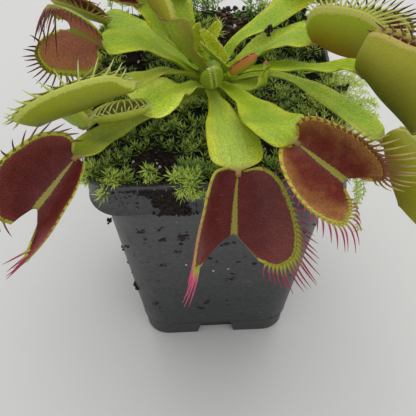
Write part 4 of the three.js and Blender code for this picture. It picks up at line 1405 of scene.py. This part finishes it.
@dataclass
class Ground:
    """The peat in the pot: mounded, heaped up along the back, bare in places and else mossy."""

    width: float = 89.5
    radius: float = 10.4
    half_pot: float = 47.0
    edge: float = 113.0
    mound: float = 3.0
    heap: float = 15.0
    heap_start: float = 19.0
    brim: float = 120.4
    brim_rise: float = 2.8
    rings: int = 78
    fineness: tuple[int, int] = (24, 44)
    under: tuple[Triple, ...] = (
        (53.2, 9.4, 1.9), (53.2, 9.4, 12.3), (62.0, 9.4, 12.4), (81.2, 10.4, 107.5), (89.2, 10.4, 109.4))
    bare: tuple[Triple, ...] = (
        (-22, -32, 9), (-19, -41, 8), (-30, 24, 7), (9, 36, 8), (13, 40, 5), (21, -28, 5), (12, -40, 4),
        (30, -22, 3), (40, 12, 4), (6, 26, 5))

    def height(self, x: float, y: float) -> float:
        """Find the peat's smooth height at a place.

        Args:
            x, y: The place.

        Returns:
            The height.
        """
        far = max(abs(x), abs(y)) / self.half_pot
        back = min(1.0, max(0.0, (y - self.heap_start) / (self.half_pot - self.heap_start)))
        bumps = math.sin(x * 0.31 + 1.3) * math.cos(y * 0.27 - 0.4) + 0.6 * math.sin(x * 0.13 - y * 0.55)
        heap = self.heap * back * back * (3 - 2 * back)
        return self.edge + self.mound * (1 - far * far) + heap + 0.9 * bumps

    def rough(self, x: float, y: float) -> float:
        """Find the lumps on the peat at a place.

        Args:
            x, y: The place.

        Returns:
            How far they rise or dip.
        """
        lumps = noise.fractal(Vector((x * 0.16, y * 0.16, 0.3)), 0.9, 2.1, 5)
        crumbs = noise.fractal(Vector((x * 0.7, y * 0.7, 4.0)), 0.7, 2.0, 3)
        return 1.5 * lumps + 0.55 * crumbs

    def mossy(self, x: float, y: float) -> float:
        """Find how mossy a place is.

        Args:
            x, y: The place.

        Returns:
            From 0 where the peat is bare to 1.
        """
        cover = 1.0
        for cx, cy, r in self.bare:
            d = math.hypot(x - cx, y - cy) / r
            cover = min(cover, max(0.0, (d - 0.75) / 0.4))
        patchy = noise.noise(Vector((x * 0.13, y * 0.13, 9.0)))
        return max(0.0, min(1.0, cover + 0.5 * patchy))

    def build(self) -> bpy.types.Object:
        """Build the peat and stand it in for its solid.

        Returns:
            The peat's object.
        """
        rim = square_ring(self.width, self.radius, 0, *self.fineness)
        low = [square_ring(*sizes, *self.fineness) for sizes in self.under]
        tops, shades = [], []
        for k in range(self.rings, 0, -1):
            ring = rim * (k / self.rings)
            fade = min(1.0, (self.rings - k) / 4)
            brim = self.brim + self.brim_rise * (self.rings - k) ** 0.6
            ring[:, 2] = [min(brim, self.height(x, y)) + self.rough(x, y) * fade for x, y in ring[:, :2]]
            tops.append(ring)
            shades.append([self.mossy(x, y) for x, y in ring[:, :2]])
        shape = lofted(low + tops)
        shade = np.concatenate([np.zeros(len(low) * len(rim)), np.concatenate(shades), [0, 1]])
        shape.values = {"mossy": shade}
        piece = make_object("peat_mound", shape, [DampPeat().make()])
        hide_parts("soil")
        return piece


@dataclass
class Crown:
    """The short pale crown that the leaves grow from; its profile is shares of height and radius."""

    y: float = 5.0
    radius: float = 7.2
    bottom: float = 103.0
    top: float = 131.0
    sides: int = 40
    folds: int = 7
    profile: tuple[tuple[float, float], ...] = (
        (0, 0.55), (0.12, 0.88), (0.3, 0.98), (0.5, 1.0), (0.62, 0.98), (0.74, 0.9), (0.84, 0.78),
        (0.92, 0.58), (0.97, 0.36), (1.0, 0.12))

    def build(self) -> bpy.types.Object:
        """Build the crown and stand it in for its solid.

        Returns:
            The crown's object: a knobbly bulb with faint upright folds.
        """
        turn = np.linspace(0, 2 * math.pi, self.sides, endpoint=False)
        folds = 1 + 0.05 * np.cos(turn * self.folds)
        rings = []
        for rise, wide in self.profile:
            height = np.full(self.sides, rise * (self.top - self.bottom) + self.bottom)
            out = wide * self.radius * folds
            rings.append(np.stack([out * np.cos(turn), self.y + out * np.sin(turn), height], axis=1))
        shape = lofted(rings)
        count = len(shape.points)
        shape.values = {"across": np.zeros(count), "along": np.full(count, 0.1)}
        finish = LeafBlade("crown_tissue_pale", middle="#849a34", edge="#93a540", deep="#5a7222")
        piece = make_object("crown_bulb", shape, [Wardrobe.get(finish)])
        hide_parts("crown")
        return piece


# Moss and litter


@dataclass(frozen=True)
class Tuft:
    """A place where moss grows thickly and hangs over the rim, in millimetres."""

    x: float
    y: float
    radius: float


@dataclass(frozen=True)
class Cushion:
    """A cushion of shoots that swells over the rim, in millimetres.

    It starts at x, y on the peat and swells along way; wide is its spread sideways, out how far it
    reaches, drop how far it hangs and count its shoots.
    """

    x: float
    y: float
    way: tuple[float, float]
    wide: float
    out: float
    drop: float
    count: int


@dataclass
class Moss:
    """Starry shoots of moss over the peat in pieces of one quarter each, and long strands over the rim."""

    ground: Ground
    spacing: float = 3.5
    needles: int = 14
    needle: float = 4.2
    half_width: float = 0.3
    limit: float = 44.4
    corner: float = 9.4
    seed: int = 11
    tufts: tuple[Tuft, ...] = (
        Tuft(-44, -37, 7), Tuft(-36, -44, 4.5), Tuft(-9, -42, 7), Tuft(-23, -40, 3), Tuft(-6, 42, 9),
        Tuft(-20, 42, 8), Tuft(45, 2, 7), Tuft(44, -12, 6), Tuft(44, -24, 6), Tuft(43, -40, 4),
        Tuft(20, 43, 5), Tuft(4, 45, 4), Tuft(13, 45, 3.5))
    cushions: tuple[Cushion, ...] = (
        Cushion(-10.5, -41, (0, -1), 4.6, 7.4, 3.5, 26), Cushion(-37, -40, (0.05, -1), 2.6, 5.0, 0.0, 7),
        Cushion(-24, -40, (0, -1), 1.6, 4.0, 0.0, 4), Cushion(-43, -37, (-0.8, -0.6), 3.2, 5.5, 1.2, 14),
        Cushion(-44, -28, (-1, 0), 3.5, 5.0, 0.5, 10), Cushion(44, -36, (0.8, -0.6), 3.0, 6.0, 2.5, 14),
        Cushion(43, -16, (1, 0), 4.0, 6.5, 1.5, 16), Cushion(43, 0, (1, 0), 4.0, 7.0, 1.5, 16))
    hanging: tuple[tuple[Triple, ...], ...] = (
        ((43, -40, 120.5), (46, -45.5, 121.5), (47.5, -47.6, 112), (49, -48.2, 102), (50.5, -48, 94.5)),
        ((44, -37, 120), (48, -42, 121), (49, -45, 113), (48.6, -46.2, 106)),
        ((44, -35, 120), (48.5, -38, 120.5), (51, -41, 113), (51.4, -42.5, 107)),
        ((43.5, -38, 120), (46, -44.5, 121.3), (46.8, -47.4, 115), (46.6, -48.2, 109)),
        ((44, -30, 119.5), (50, -34, 121), (55, -38, 118), (58.5, -41.5, 113)))
    wisps: int = 34
    kinds: int = 6
    crown_gap: float = 7.0
    leaf_gap: float = 2.0
    stem_radius: float = 0.16
    strand_steps: int = 24
    strand_pitch: float = 0.5

    def needle_at(self, root: np.ndarray, way: np.ndarray, flat: np.ndarray, length: float) -> np.ndarray:
        """Lay out one needle, which bends upwards.

        Args:
            root: Where it stands.
            way: Where it points.
            flat: Direction of its width.
            length: How long it is.

        Returns:
            Its root, three points round its widest part, and its tip.
        """
        under = np.cross(way, flat)
        mid = root + way * length * 0.4
        return np.array([root, mid - flat * self.half_width, mid + flat * self.half_width,
                         mid + under * self.half_width * 0.5, root + way * length + UP * length * 0.12])

    def whorl(self, roots: np.ndarray, ways: np.ndarray,
              lengths: np.ndarray) -> tuple[np.ndarray, np.ndarray, np.ndarray]:
        """Put needles together.

        Args:
            roots: Where each stands.
            ways: Where each points.
            lengths: How long each is.

        Returns:
            The points, the triangles and how far along its needle each point is.
        """
        flats = unit(np.cross(np.broadcast_to(UP, ways.shape), ways))
        points = np.concatenate([self.needle_at(*each) for each in zip(roots, ways, flats, lengths)])
        one = np.array(((0, 2, 1), (0, 1, 3), (0, 3, 2), (4, 1, 2), (4, 3, 1), (4, 2, 3)))
        faces = (one[None] + 5 * np.arange(len(roots))[:, None, None]).reshape(-1, 3)
        return points, faces, np.tile([0.0, 0.5, 0.5, 0.4, 1.0], len(roots))

    def head(self, luck: random.Random) -> tuple[np.ndarray, np.ndarray, np.ndarray]:
        """Build the starry head of a shoot with its top at the origin.

        Args:
            luck: Where its irregularities come from.

        Returns:
            Its points, its triangles and how far along its needle each point is, cut down on the lower
            needles so that they are painted darker, partly as older needles are and partly as shade under
            the head.
        """
        share = np.arange(self.needles) / (self.needles - 1)
        spin = np.array([k * GOLDEN_ANGLE + luck.uniform(-0.3, 0.3) for k in range(self.needles)])
        rise = np.radians([4 + 76 * h**1.5 + luck.uniform(-9, 9) for h in share])
        lengths = np.array([self.needle * (1.05 - 0.45 * h) * luck.uniform(0.8, 1.15) for h in share])
        ways = np.stack([np.cos(spin) * np.cos(rise), np.sin(spin) * np.cos(rise), np.sin(rise)], axis=1)
        roots = np.stack([0 * share, 0 * share, -2.4 * (1 - share)], axis=1)
        points, faces, reach = self.whorl(roots, ways, lengths)
        # The lower needles get less reach, so they are painted darker: partly their older colour, partly
        # painted shade under the head
        return points, faces, reach * (0.28 + 0.72 * np.repeat(share, 5) ** 0.8)

    def places(self, clear: np.ndarray) -> list[tuple[float, float, float, float, float]]:
        """Choose where shoots stand.

        Args:
            clear: Points on the leaves' middle lines with the half width there, which shoots stay under.

        Returns:
            For each shoot its place, the height of the peat, its own height and how far it leans outwards.
        """
        luck = random.Random(self.seed)
        found = []
        straight = self.limit - self.corner
        rows = int(2 * self.limit / (self.spacing * ROW_PITCH))
        for row in range(rows):
            for col in range(int(2 * self.limit / self.spacing) + 1):
                for again in range(3 if row > 0.85 * rows else 2):
                    x = -self.limit + (col + 0.5 * (row % 2)) * self.spacing + luck.uniform(-1, 1)
                    y = -self.limit + row * self.spacing * ROW_PITCH + luck.uniform(-1, 1)
                    over = max(1 - math.hypot(x - tuft.x, y - tuft.y) / tuft.radius for tuft in self.tufts)
                    round_corner = math.hypot(max(abs(x) - straight, 0), max(abs(y) - straight, 0))
                    cover = max(self.ground.mossy(x, y), 1.0 if over > 0 else 0.0)
                    bare = luck.random() > cover * 1.1 or (again and over < 0)
                    if round_corner > self.corner or bare or math.hypot(x, y - Crown.y) < self.crown_gap:
                        continue
                    clump = noise.noise(Vector((x * 0.2, y * 0.2, 2.0)))
                    tall = (4.6 + 3.4 * clump) * luck.uniform(0.65, 1.3) * (0.5 + 0.5 * cover)
                    tall += 5.5 * max(over, 0) ** 0.6
                    tall += 2.5 * max(0.0, (y - 30) / 14)
                    base = self.ground.height(x, y) + self.ground.rough(x, y) - 0.5
                    near = np.hypot(clear[:, 0] - x, clear[:, 1] - y) < clear[:, 3] + self.leaf_gap
                    if near.any():
                        tall = min(tall, clear[near, 2].min() - self.leaf_gap - base)
                    if tall > 1.2:
                        edge = max(0.0, max(abs(x), abs(y)) - 40) / 6
                        found.append((x, y, base, tall, min(0.7, edge * (0.5 + max(over, 0)))))
        return found

    def planted(self, spots: list[tuple[float, float, float, float, float]], seed: int) -> Shape:
        """Stand a shoot at each spot.

        Args:
            spots: Places, heights and outward leans.
            seed: Seed of the turns and leans.

        Returns:
            All the shoots in one shape.
        """
        luck = random.Random(seed)
        kinds = [self.head(luck) for _ in range(self.kinds)]
        shapes = []
        for x, y, base, tall, over in spots:
            points, faces, reach = luck.choice(kinds)
            spin, way = luck.uniform(0, TURN), luck.uniform(0, TURN)
            lean = np.array([math.cos(way), math.sin(way)]) * luck.uniform(0, 0.45)
            lean += np.array([x, y]) / max(abs(x), abs(y), 1) * over
            axis = unit(np.array([*lean, 1.0]))
            turn = standing(axis, spin)
            root = np.array([x, y, base])
            hue = 0.5 + 0.8 * noise.noise(Vector((x * 0.12, y * 0.12, 5.0))) + luck.uniform(-0.3, 0.3)
            shade = np.full(len(points), min(1.0, max(0.0, hue)))
            size = luck.uniform(0.75, 1.15)
            place = root + axis * tall
            shapes.append(Shape((points * size) @ turn + place, [faces], {"reach": reach, "hue": shade}))
            stem = root + axis * np.linspace(0, tall, 3)[:, None]
            thin = np.full(3, self.stem_radius)
            shapes.append(tube(stem, thin, thin, turn[0], 3, {"reach": thin, "hue": thin}))
        return joined(shapes)

    def draped(self) -> Shape:
        """Build the cushions that swell over the rim.

        Returns:
            All their heads in one shape, each turned the way the cushion's surface faces.
        """
        luck = random.Random(self.seed)
        kinds = [self.head(luck) for _ in range(self.kinds)]
        shapes = []
        for cushion in self.cushions:
            way = unit(np.array([*cushion.way, 0.0]))
            beside = np.array([way[1], -way[0], 0.0])
            for k in range(cushion.count):
                t = (k + luck.random()) / cushion.count
                hang = max(0.0, (t - 0.45) / 0.55)
                place = np.array([cushion.x, cushion.y, 121.0]) + way * cushion.out * min(1.0, 1.5 * t)
                place += beside * luck.gauss(0, 0.5) * cushion.wide * (1 - 0.4 * hang)
                place[2] += 2.2 * math.sin(math.pi * min(1.0, 0.25 + t)) - cushion.drop * hang**1.2
                place += jolt(luck, 0.6)
                points, faces, reach = luck.choice(kinds)
                axis = unit(way * (0.15 + 1.3 * t) + UP * (1.1 - t) + jolt(luck, 0.2))
                turn = standing(axis, luck.uniform(0, TURN))
                values = {"reach": reach, "hue": np.full(len(points), luck.uniform(0.6, 1.0))}
                shapes.append(Shape(points * luck.uniform(0.75, 1.1) @ turn + place, [faces], values))
        return joined(shapes)

    def strand(self, route: tuple[Triple, ...], luck: random.Random) -> Shape:
        """Build one long trailing stem with small needles all along it.

        Args:
            route: Points that it passes, from the peat over the rim to its tip.
            luck: Where its irregularities come from.

        Returns:
            The strand.
        """
        steps = self.strand_steps
        walk = smooth_path(np.array(route, float), steps)
        radius = np.linspace(self.stem_radius, 0.07, steps)
        values = {"reach": np.full(steps, 0.35), "hue": np.full(steps, 0.8)}
        stem = tube(walk, radius, radius, UP + np.array([0.3, 0.2, 0]), 4, values)
        length = np.linalg.norm(np.diff(walk, axis=0), axis=1).sum()
        count = int(length / self.strand_pitch)
        at, whole = np.linspace(0.1, 1, count), np.linspace(0, 1, steps)
        roots = np.stack([np.interp(at, whole, walk[:, k]) for k in range(3)], axis=1)
        run = unit(np.gradient(roots, axis=0))
        spin = np.arange(count) * GOLDEN_ANGLE
        side = unit(np.cross(run, [0.31, 0.22, 0.93]))
        up = np.cross(side, run)
        out = side * np.cos(spin)[:, None] + up * np.sin(spin)[:, None]
        ways = unit(out + run * 0.9 + np.array([jolt(luck, 0.25) for _ in range(count)]))
        lengths = np.array([self.needle * 0.6 * luck.uniform(0.5, 1.2) for _ in range(count)])
        points, faces, reach = self.whorl(roots, ways, lengths)
        needles = Shape(points, [faces], {"reach": reach * 0.9 + 0.1, "hue": np.full(len(points), 0.8)})
        return joined([stem, needles])

    def wisp(self, luck: random.Random) -> list[Triple]:
        """Let a trailing stem wander out over the right rim.

        Args:
            luck: Where its turns come from.

        Returns:
            The points of its route.
        """
        y = luck.uniform(-25, 10)
        x, z, way = 44.0, 119.5, luck.uniform(-0.5, 0.35)
        route = [(x, y, z)]
        step = luck.uniform(2.2, 4.4)
        for k in range(4):
            way += luck.uniform(-0.35, 0.35)
            x += step * math.cos(way)
            y += step * math.sin(way)
            z += (1.6, 0.9, -0.3, -1.2)[k] + luck.uniform(-0.8, 0.8)
            route.append((x, y, z))
        return route

    def build(self, clear: np.ndarray) -> None:
        """Plant the moss quarter by quarter, then hang the strands.

        Args:
            clear: Points on the leaves that shoots stay under.
        """
        finish = MossLeaf().make()
        spots = self.places(clear)
        for number, (right, back) in enumerate(((0, 0), (1, 0), (0, 1), (1, 1))):
            here = [s for s in spots if (s[0] >= 0) == bool(right) and (s[1] >= 0) == bool(back)]
            name = f"moss_{'back' if back else 'front'}_{'right' if right else 'left'}"
            make_object(name, self.planted(here, self.seed + number), [finish], smooth=False)
        luck = random.Random(self.seed)
        routes = [*self.hanging, *(self.wisp(luck) for _ in range(self.wisps))]
        strands = joined([self.strand(route, luck) for route in routes])
        make_object("moss_strands", strands, [finish], smooth=False)
        make_object("moss_cushions", self.draped(), [finish], smooth=False)


@dataclass
class Litter:
    """Crumbs of peat, perlite and bark, on the peat, over the rim and stuck to the pot."""

    ground: Ground
    pot: Pot
    seed: int = 5
    spilt: tuple[tuple[float, float, float, float, int, float], ...] = (
        (-26, 1.5, 9, 1.4, 110, 0.8), (-21, 3.4, 6, 2.5, 150, 1.0), (-18.5, 7.5, 4.5, 4, 170, 1.2),
        (-16.5, 12, 4.5, 3.5, 150, 1.25), (-12, 15.6, 4, 1.8, 70, 1.1), (-20.5, 14.8, 3, 1.2, 36, 1.0),
        (-15.5, 18.5, 4, 2.4, 26, 1.0), (-31, 4, 8, 5, 50, 0.45), (-11, 7, 7, 7, 40, 0.4))
    flecks: tuple[tuple[float, float, float, float], ...] = (
        (-28.8, 89.6, 2.0, 0.45), (-28, 84.6, 0.8, 0.4), (-22, 90.5, 1.4, 0.5), (-21.2, 83.4, 1.5, 0.7),
        (-13.5, 86.5, 2.0, 0.8), (-13.2, 83.2, 2.2, 0.8), (-34.8, 79.4, 1.4, 0.7), (-26.4, 78.7, 0.4, 0.5),
        (-33, 73.2, 0.3, 0.4), (-15.4, 74.1, 1.8, 0.4), (-22, 64.6, 2.0, 0.35), (-8, 53.6, 0.9, 0.5),
        (-27, 31.1, 1.3, 0.5), (2, 77.6, 1.0, 0.6), (4, 78.6, 1.0, 0.6), (6, 79.4, 0.8, 0.6),
        (-3.2, 67.8, 1.2, 0.6), (-0.3, 65.2, 0.8, 0.3), (8.1, 64.5, 0.7, 0.5), (10.8, 68.2, 0.4, 0.5),
        (14.7, 62.4, 0.7, 0.9), (6, 54.9, 0.6, 0.4), (6.2, 50.7, 2.0, 0.3), (-3.8, 30.8, 1.2, 0.9),
        (-6, 25.3, 1.5, 1.0), (4.5, 31.9, 0.5, 0.8), (36, 90.1, 0.6, 0.7), (33, 84.8, 0.6, 0.6),
        (27, 60, 1.5, 0.4), (20, 88, 2.0, 0.4))
    white_flecks: tuple[tuple[float, float, float, float], ...] = (
        (-1.7, 58.0, 0.1, 1.1), (4.3, 59.2, 0.1, 0.45), (-12.8, 63.8, 0.1, 0.3), (20.9, 55.3, 0.1, 0.4))
    leaf_clods: tuple[tuple[Triple, float], ...] = (
        ((21.6, 17.4, 136.0), 1.9), ((49.0, -2.5, 122.5), 1.9), ((36.4, 25.9, 138.6), 1.6))
    wall_clods: tuple[Triple, ...] = (
        (-42.0, 83.3, 1.1), (-38.0, 66.3, 1.2), (-37.0, 62.0, 0.9), (-36.5, 55.9, 1.0), (-35.2, 49.5, 1.0),
        (-34.4, 45.4, 1.2), (-34.0, 38.5, 2.0), (-32.6, 37.2, 1.8), (-31.3, 25.6, 0.8), (-30.9, 22.6, 0.7))
    wall_clods_y: float = -30.0
    half: float = 44.0
    corner: float = 9.0
    crumbs: int = 900
    perlite: int = 46
    chips: int = 60

    def crumb(self, luck: random.Random, centre: np.ndarray, size: np.ndarray) -> Shape:
        """Build one irregular lump.

        Args:
            luck: Where its irregularities come from.
            centre: Its middle.
            size: Half its length, width and height.

        Returns:
            A closed lump of twenty faces.
        """
        g = (1 + 5 ** 0.5) / 2
        corners = unit(np.array([(-1, g, 0), (1, g, 0), (-1, -g, 0), (1, -g, 0), (0, -1, g), (0, 1, g),
                                 (0, -1, -g), (0, 1, -g), (g, 0, -1), (g, 0, 1), (-g, 0, -1), (-g, 0, 1)]))
        faces = np.array([(0, 11, 5), (0, 5, 1), (0, 1, 7), (0, 7, 10), (0, 10, 11), (1, 5, 9), (5, 11, 4),
                          (11, 10, 2), (10, 7, 6), (7, 1, 8), (3, 9, 4), (3, 4, 2), (3, 2, 6), (3, 6, 8),
                          (3, 8, 9), (4, 9, 5), (2, 4, 11), (6, 2, 10), (8, 6, 7), (9, 8, 1)])
        jitter = np.array([luck.uniform(0.65, 1.25) for _ in corners])[:, None]
        spin = luck.uniform(0, TURN)
        c, s = math.cos(spin), math.sin(spin)
        turn = np.array([[c, s, 0], [-s, c, 0], [0, 0, 1]])
        return Shape((corners * jitter * size) @ turn + centre, [faces])

    def on_ground(self, luck: random.Random, count: int, small: float, large: float) -> list[Shape]:
        """Scatter lumps over the bare peat.

        Args:
            luck: Where the places come from.
            count: How many.
            small: Least half width.
            large: Greatest half width.

        Returns:
            The lumps.
        """
        made = []
        while len(made) < count:
            x, y = luck.uniform(-self.half, self.half), luck.uniform(-self.half, self.half)
            straight = self.half - self.corner
            outside = math.hypot(max(abs(x) - straight, 0), max(abs(y) - straight, 0)) > self.corner
            if outside or self.ground.mossy(x, y) > 0.5:
                continue
            size = np.array([luck.uniform(small, large) * luck.uniform(0.7, 1.6) for _ in range(3)])
            z = self.ground.height(x, y) + self.ground.rough(x, y) + size[2] * 0.3
            made.append(self.crumb(luck, np.array([x, y, z]), size))
        return made

    def on_front(self, spots: tuple[tuple[float, float, float, float], ...],
                 luck: random.Random) -> list[Shape]:
        """Stick patches of flecks to the pot's front.

        Args:
            spots: Sideways place, height, spread and greatest fleck of each patch.
            luck: Where their irregularities come from.

        Returns:
            The flecks, flat against the wall.
        """
        made = []
        for x, z, spread, large in spots:
            for _ in range(max(1, round(4 * spread / large))):
                dx, dz = luck.gauss(0, 0.55) * spread, luck.gauss(0, 0.4) * spread
                y = -self.pot.body_width(z + dz) / 2
                size = large * luck.uniform(0.35, 1.45)
                lump = np.array([size * luck.uniform(0.8, 1.5), size * 0.3, size * luck.uniform(0.5, 1.0)])
                made.append(self.crumb_upright(luck, np.array([x + dx, y - lump[1] * 0.4, z + dz]), lump))
        return made

    def crumb_upright(self, luck: random.Random, centre: np.ndarray, size: np.ndarray) -> Shape:
        """Build one lump that lies against an upright wall."""
        shape = self.crumb(luck, np.zeros(3), np.array([size[0], size[2], size[1]]))
        return Shape(shape.points[:, [0, 2, 1]] + centre, [f[:, ::-1] for f in shape.faces])

    def spill(self, luck: random.Random) -> list[Shape]:
        """Heap crumbs where peat has been spilt over the rim, at the front left.

        Args:
            luck: Where the places come from.

        Returns:
            The crumbs: on the rim, stuck thickly down the band, and a fine scatter round them.
        """
        made = []
        face = self.pot.rim_width / 2 - 0.35
        for middle, fall, spread_x, spread_z, count, large in self.spilt:
            for _ in range(count):
                down = fall + luck.gauss(0, 0.5) * spread_z
                x = middle + luck.gauss(0, 0.5) * spread_x
                size = np.array([luck.uniform(0.3, 1.0) * large * s for s in (1.2, 0.8, 0.8)])
                if down < 1.2:
                    y = luck.uniform(-46.6, -42)
                    z = self.pot.height + 0.2 - max(0.0, y + 45.2) * 2.1 + size[2] * 0.3
                elif down < self.pot.band - 0.4:
                    y, z = -face - size[1] * 0.25, self.pot.height - down
                else:
                    z = self.pot.height - down
                    y = -self.pot.body_width(z) / 2 - size[1] * 0.3
                made.append(self.crumb(luck, np.array([x, y, z]), size))
        return made

    def clod(self, luck: random.Random, centre: Triple, radius: float) -> list[Shape]:
        """Press crumbs together in one clod.

        Args:
            luck: Where its irregularities come from.
            centre: Its middle.
            radius: How far the crumbs spread.

        Returns:
            The crumbs.
        """
        made = []
        for _ in range(9):
            shift = jolt(luck, 0.42) * radius
            size = np.array([luck.uniform(0.35, 0.6) for _ in range(3)]) * radius
            made.append(self.crumb(luck, np.array(centre) + shift, size))
        return made

    def build(self) -> None:
        """Scatter the litter, a piece for each stuff."""
        luck = random.Random(self.seed)
        peat = self.on_ground(luck, self.crumbs, 0.35, 1.1) + self.spill(luck)
        peat += self.on_front(self.flecks, luck)
        for place, radius in self.leaf_clods:
            peat += self.clod(luck, place, radius)
        for x, z, radius in self.wall_clods:
            peat += self.clod(luck, (x, self.wall_clods_y, z), radius)
        crumbly = DampPeat("#1d1510", "#3f2e22").make("peat_crumb", mossy=False)
        make_object("peat_crumbs", joined(peat), [crumbly], smooth=False)
        white = self.on_ground(luck, self.perlite, 0.35, 0.8) + self.on_front(self.white_flecks, luck)
        perlite = PlainGrain("perlite_expanded", "#e2ded4", "#b5ada0", 0.6, 0.85)
        make_object("perlite_grains", joined(white), [perlite.make()], smooth=False)
        chips = []
        for _ in range(self.chips):
            x, y = luck.gauss(10, 6), luck.uniform(24, 42)
            size = np.array([luck.uniform(0.8, 2.4), luck.uniform(0.4, 1.0), luck.uniform(0.3, 0.6)])
            z = self.ground.height(x, y) + self.ground.rough(x, y) + 0.5
            chips.append(self.crumb(luck, np.array([x, y, z]), size))
        bark = PlainGrain("pine_bark_chipped", "#86603f", "#3c2a20", 1.2, 0.8)
        make_object("bark_chips", joined(chips), [bark.make()], smooth=False)


# Studio


@dataclass
class Studio:
    """The camera, the soft lights and the floor."""

    azimuth: float = -2.9
    elevation: float = 50.0
    distance: float = 339.5
    target: Triple = (-2.0, 0.0, 53.1)
    focal_px: float = 761.0
    image_px: float = 416.0
    sensor: float = 36.0
    clip_start: float = 0.01
    lamps: tuple[tuple[str, Triple, float, float, str], ...] = (
        ("key", (0.05, 0.4, 1.1), 1.2, 6.6, "#fffdf8"), ("fill", (0.25, -0.8, 1.2), 1.4, 4.6, "#fffefc"))
    sky: str = "#f3f4f5"
    sky_strength: float = 0.68
    floor_half: float = 3.0

    def camera(self) -> None:
        """Place the camera at the picture's viewing angle."""
        az, el = math.radians(self.azimuth), math.radians(self.elevation)
        back = Vector((math.sin(az) * math.cos(el), -math.cos(az) * math.cos(el), math.sin(el)))
        data = bpy.data.cameras.new("camera")
        data.sensor_width = self.sensor
        data.lens = self.focal_px / self.image_px * self.sensor
        data.clip_start = self.clip_start
        camera = bpy.data.objects.new("camera", data)
        camera.location = (Vector(self.target) + back * self.distance) * MM
        camera.rotation_euler = (-back).to_track_quat("-Z", "Y").to_euler()
        bpy.context.collection.objects.link(camera)
        bpy.context.scene.camera = camera

    def lamp(self, name: str, place: Triple, size: float, power: float, colour: str) -> None:
        """Hang a square soft light that faces the plant.

        Args:
            name: The light's name.
            place: Where it hangs, in metres.
            size: Its side in metres.
            power: Its power in watts.
            colour: Its colour.
        """
        data = bpy.data.lights.new(name, "AREA")
        data.size = size
        data.energy = power
        data.color = linear(colour)[:3]
        lamp = bpy.data.objects.new(name, data)
        lamp.location = place
        lamp.rotation_euler = (Vector((0, 0, 0.1)) - Vector(place)).to_track_quat("-Z", "Y").to_euler()
        bpy.context.collection.objects.link(lamp)

    def build(self) -> None:
        """Light the set and lay its floor."""
        for lamp in self.lamps:
            self.lamp(*lamp)
        world = bpy.data.worlds.new("studio")
        world.use_nodes = True
        background = world.node_tree.nodes["Background"]
        background.inputs["Color"].default_value = linear(self.sky)
        background.inputs["Strength"].default_value = self.sky_strength
        bpy.context.scene.world = world
        bpy.context.scene.view_settings.view_transform = "Standard"
        bpy.context.scene.view_settings.look = "None"
        half = self.floor_half
        corners = [(-half, -half, 0), (half, -half, 0), (half, half, 0), (-half, half, 0)]
        mesh = bpy.data.meshes.new("floor")
        mesh.from_pydata(corners, [], [(0, 1, 2, 3)])
        mesh.materials.append(PaleBoard().make())
        floor = bpy.data.objects.new("floor", mesh)
        bpy.context.collection.objects.link(floor)


def leaf_lines(leaves: list[Leaf]) -> np.ndarray:
    """Return points on all the leaves' middle lines, each with the blade's half width."""
    rows = [np.column_stack([leaf.spine(), leaf.half_widths()]) for leaf in leaves]
    return np.concatenate(rows)


def main() -> None:
    """Build the plant in order: camera and light, pot, ground, leaves, moss and litter."""
    logging.basicConfig(level=logging.INFO, format="%(name)s %(message)s")
    studio = Studio()
    studio.camera()
    pot = Pot()
    pot.build()
    ground = Ground()
    ground.build()
    Crown().build()
    leaves = [Leaf(plan) for plan in LEAVES]
    for leaf in leaves:
        leaf.build()
    Moss(ground).build(leaf_lines(leaves))
    Litter(ground, pot).build()
    studio.build()


if __name__ == "__main__":
    main()
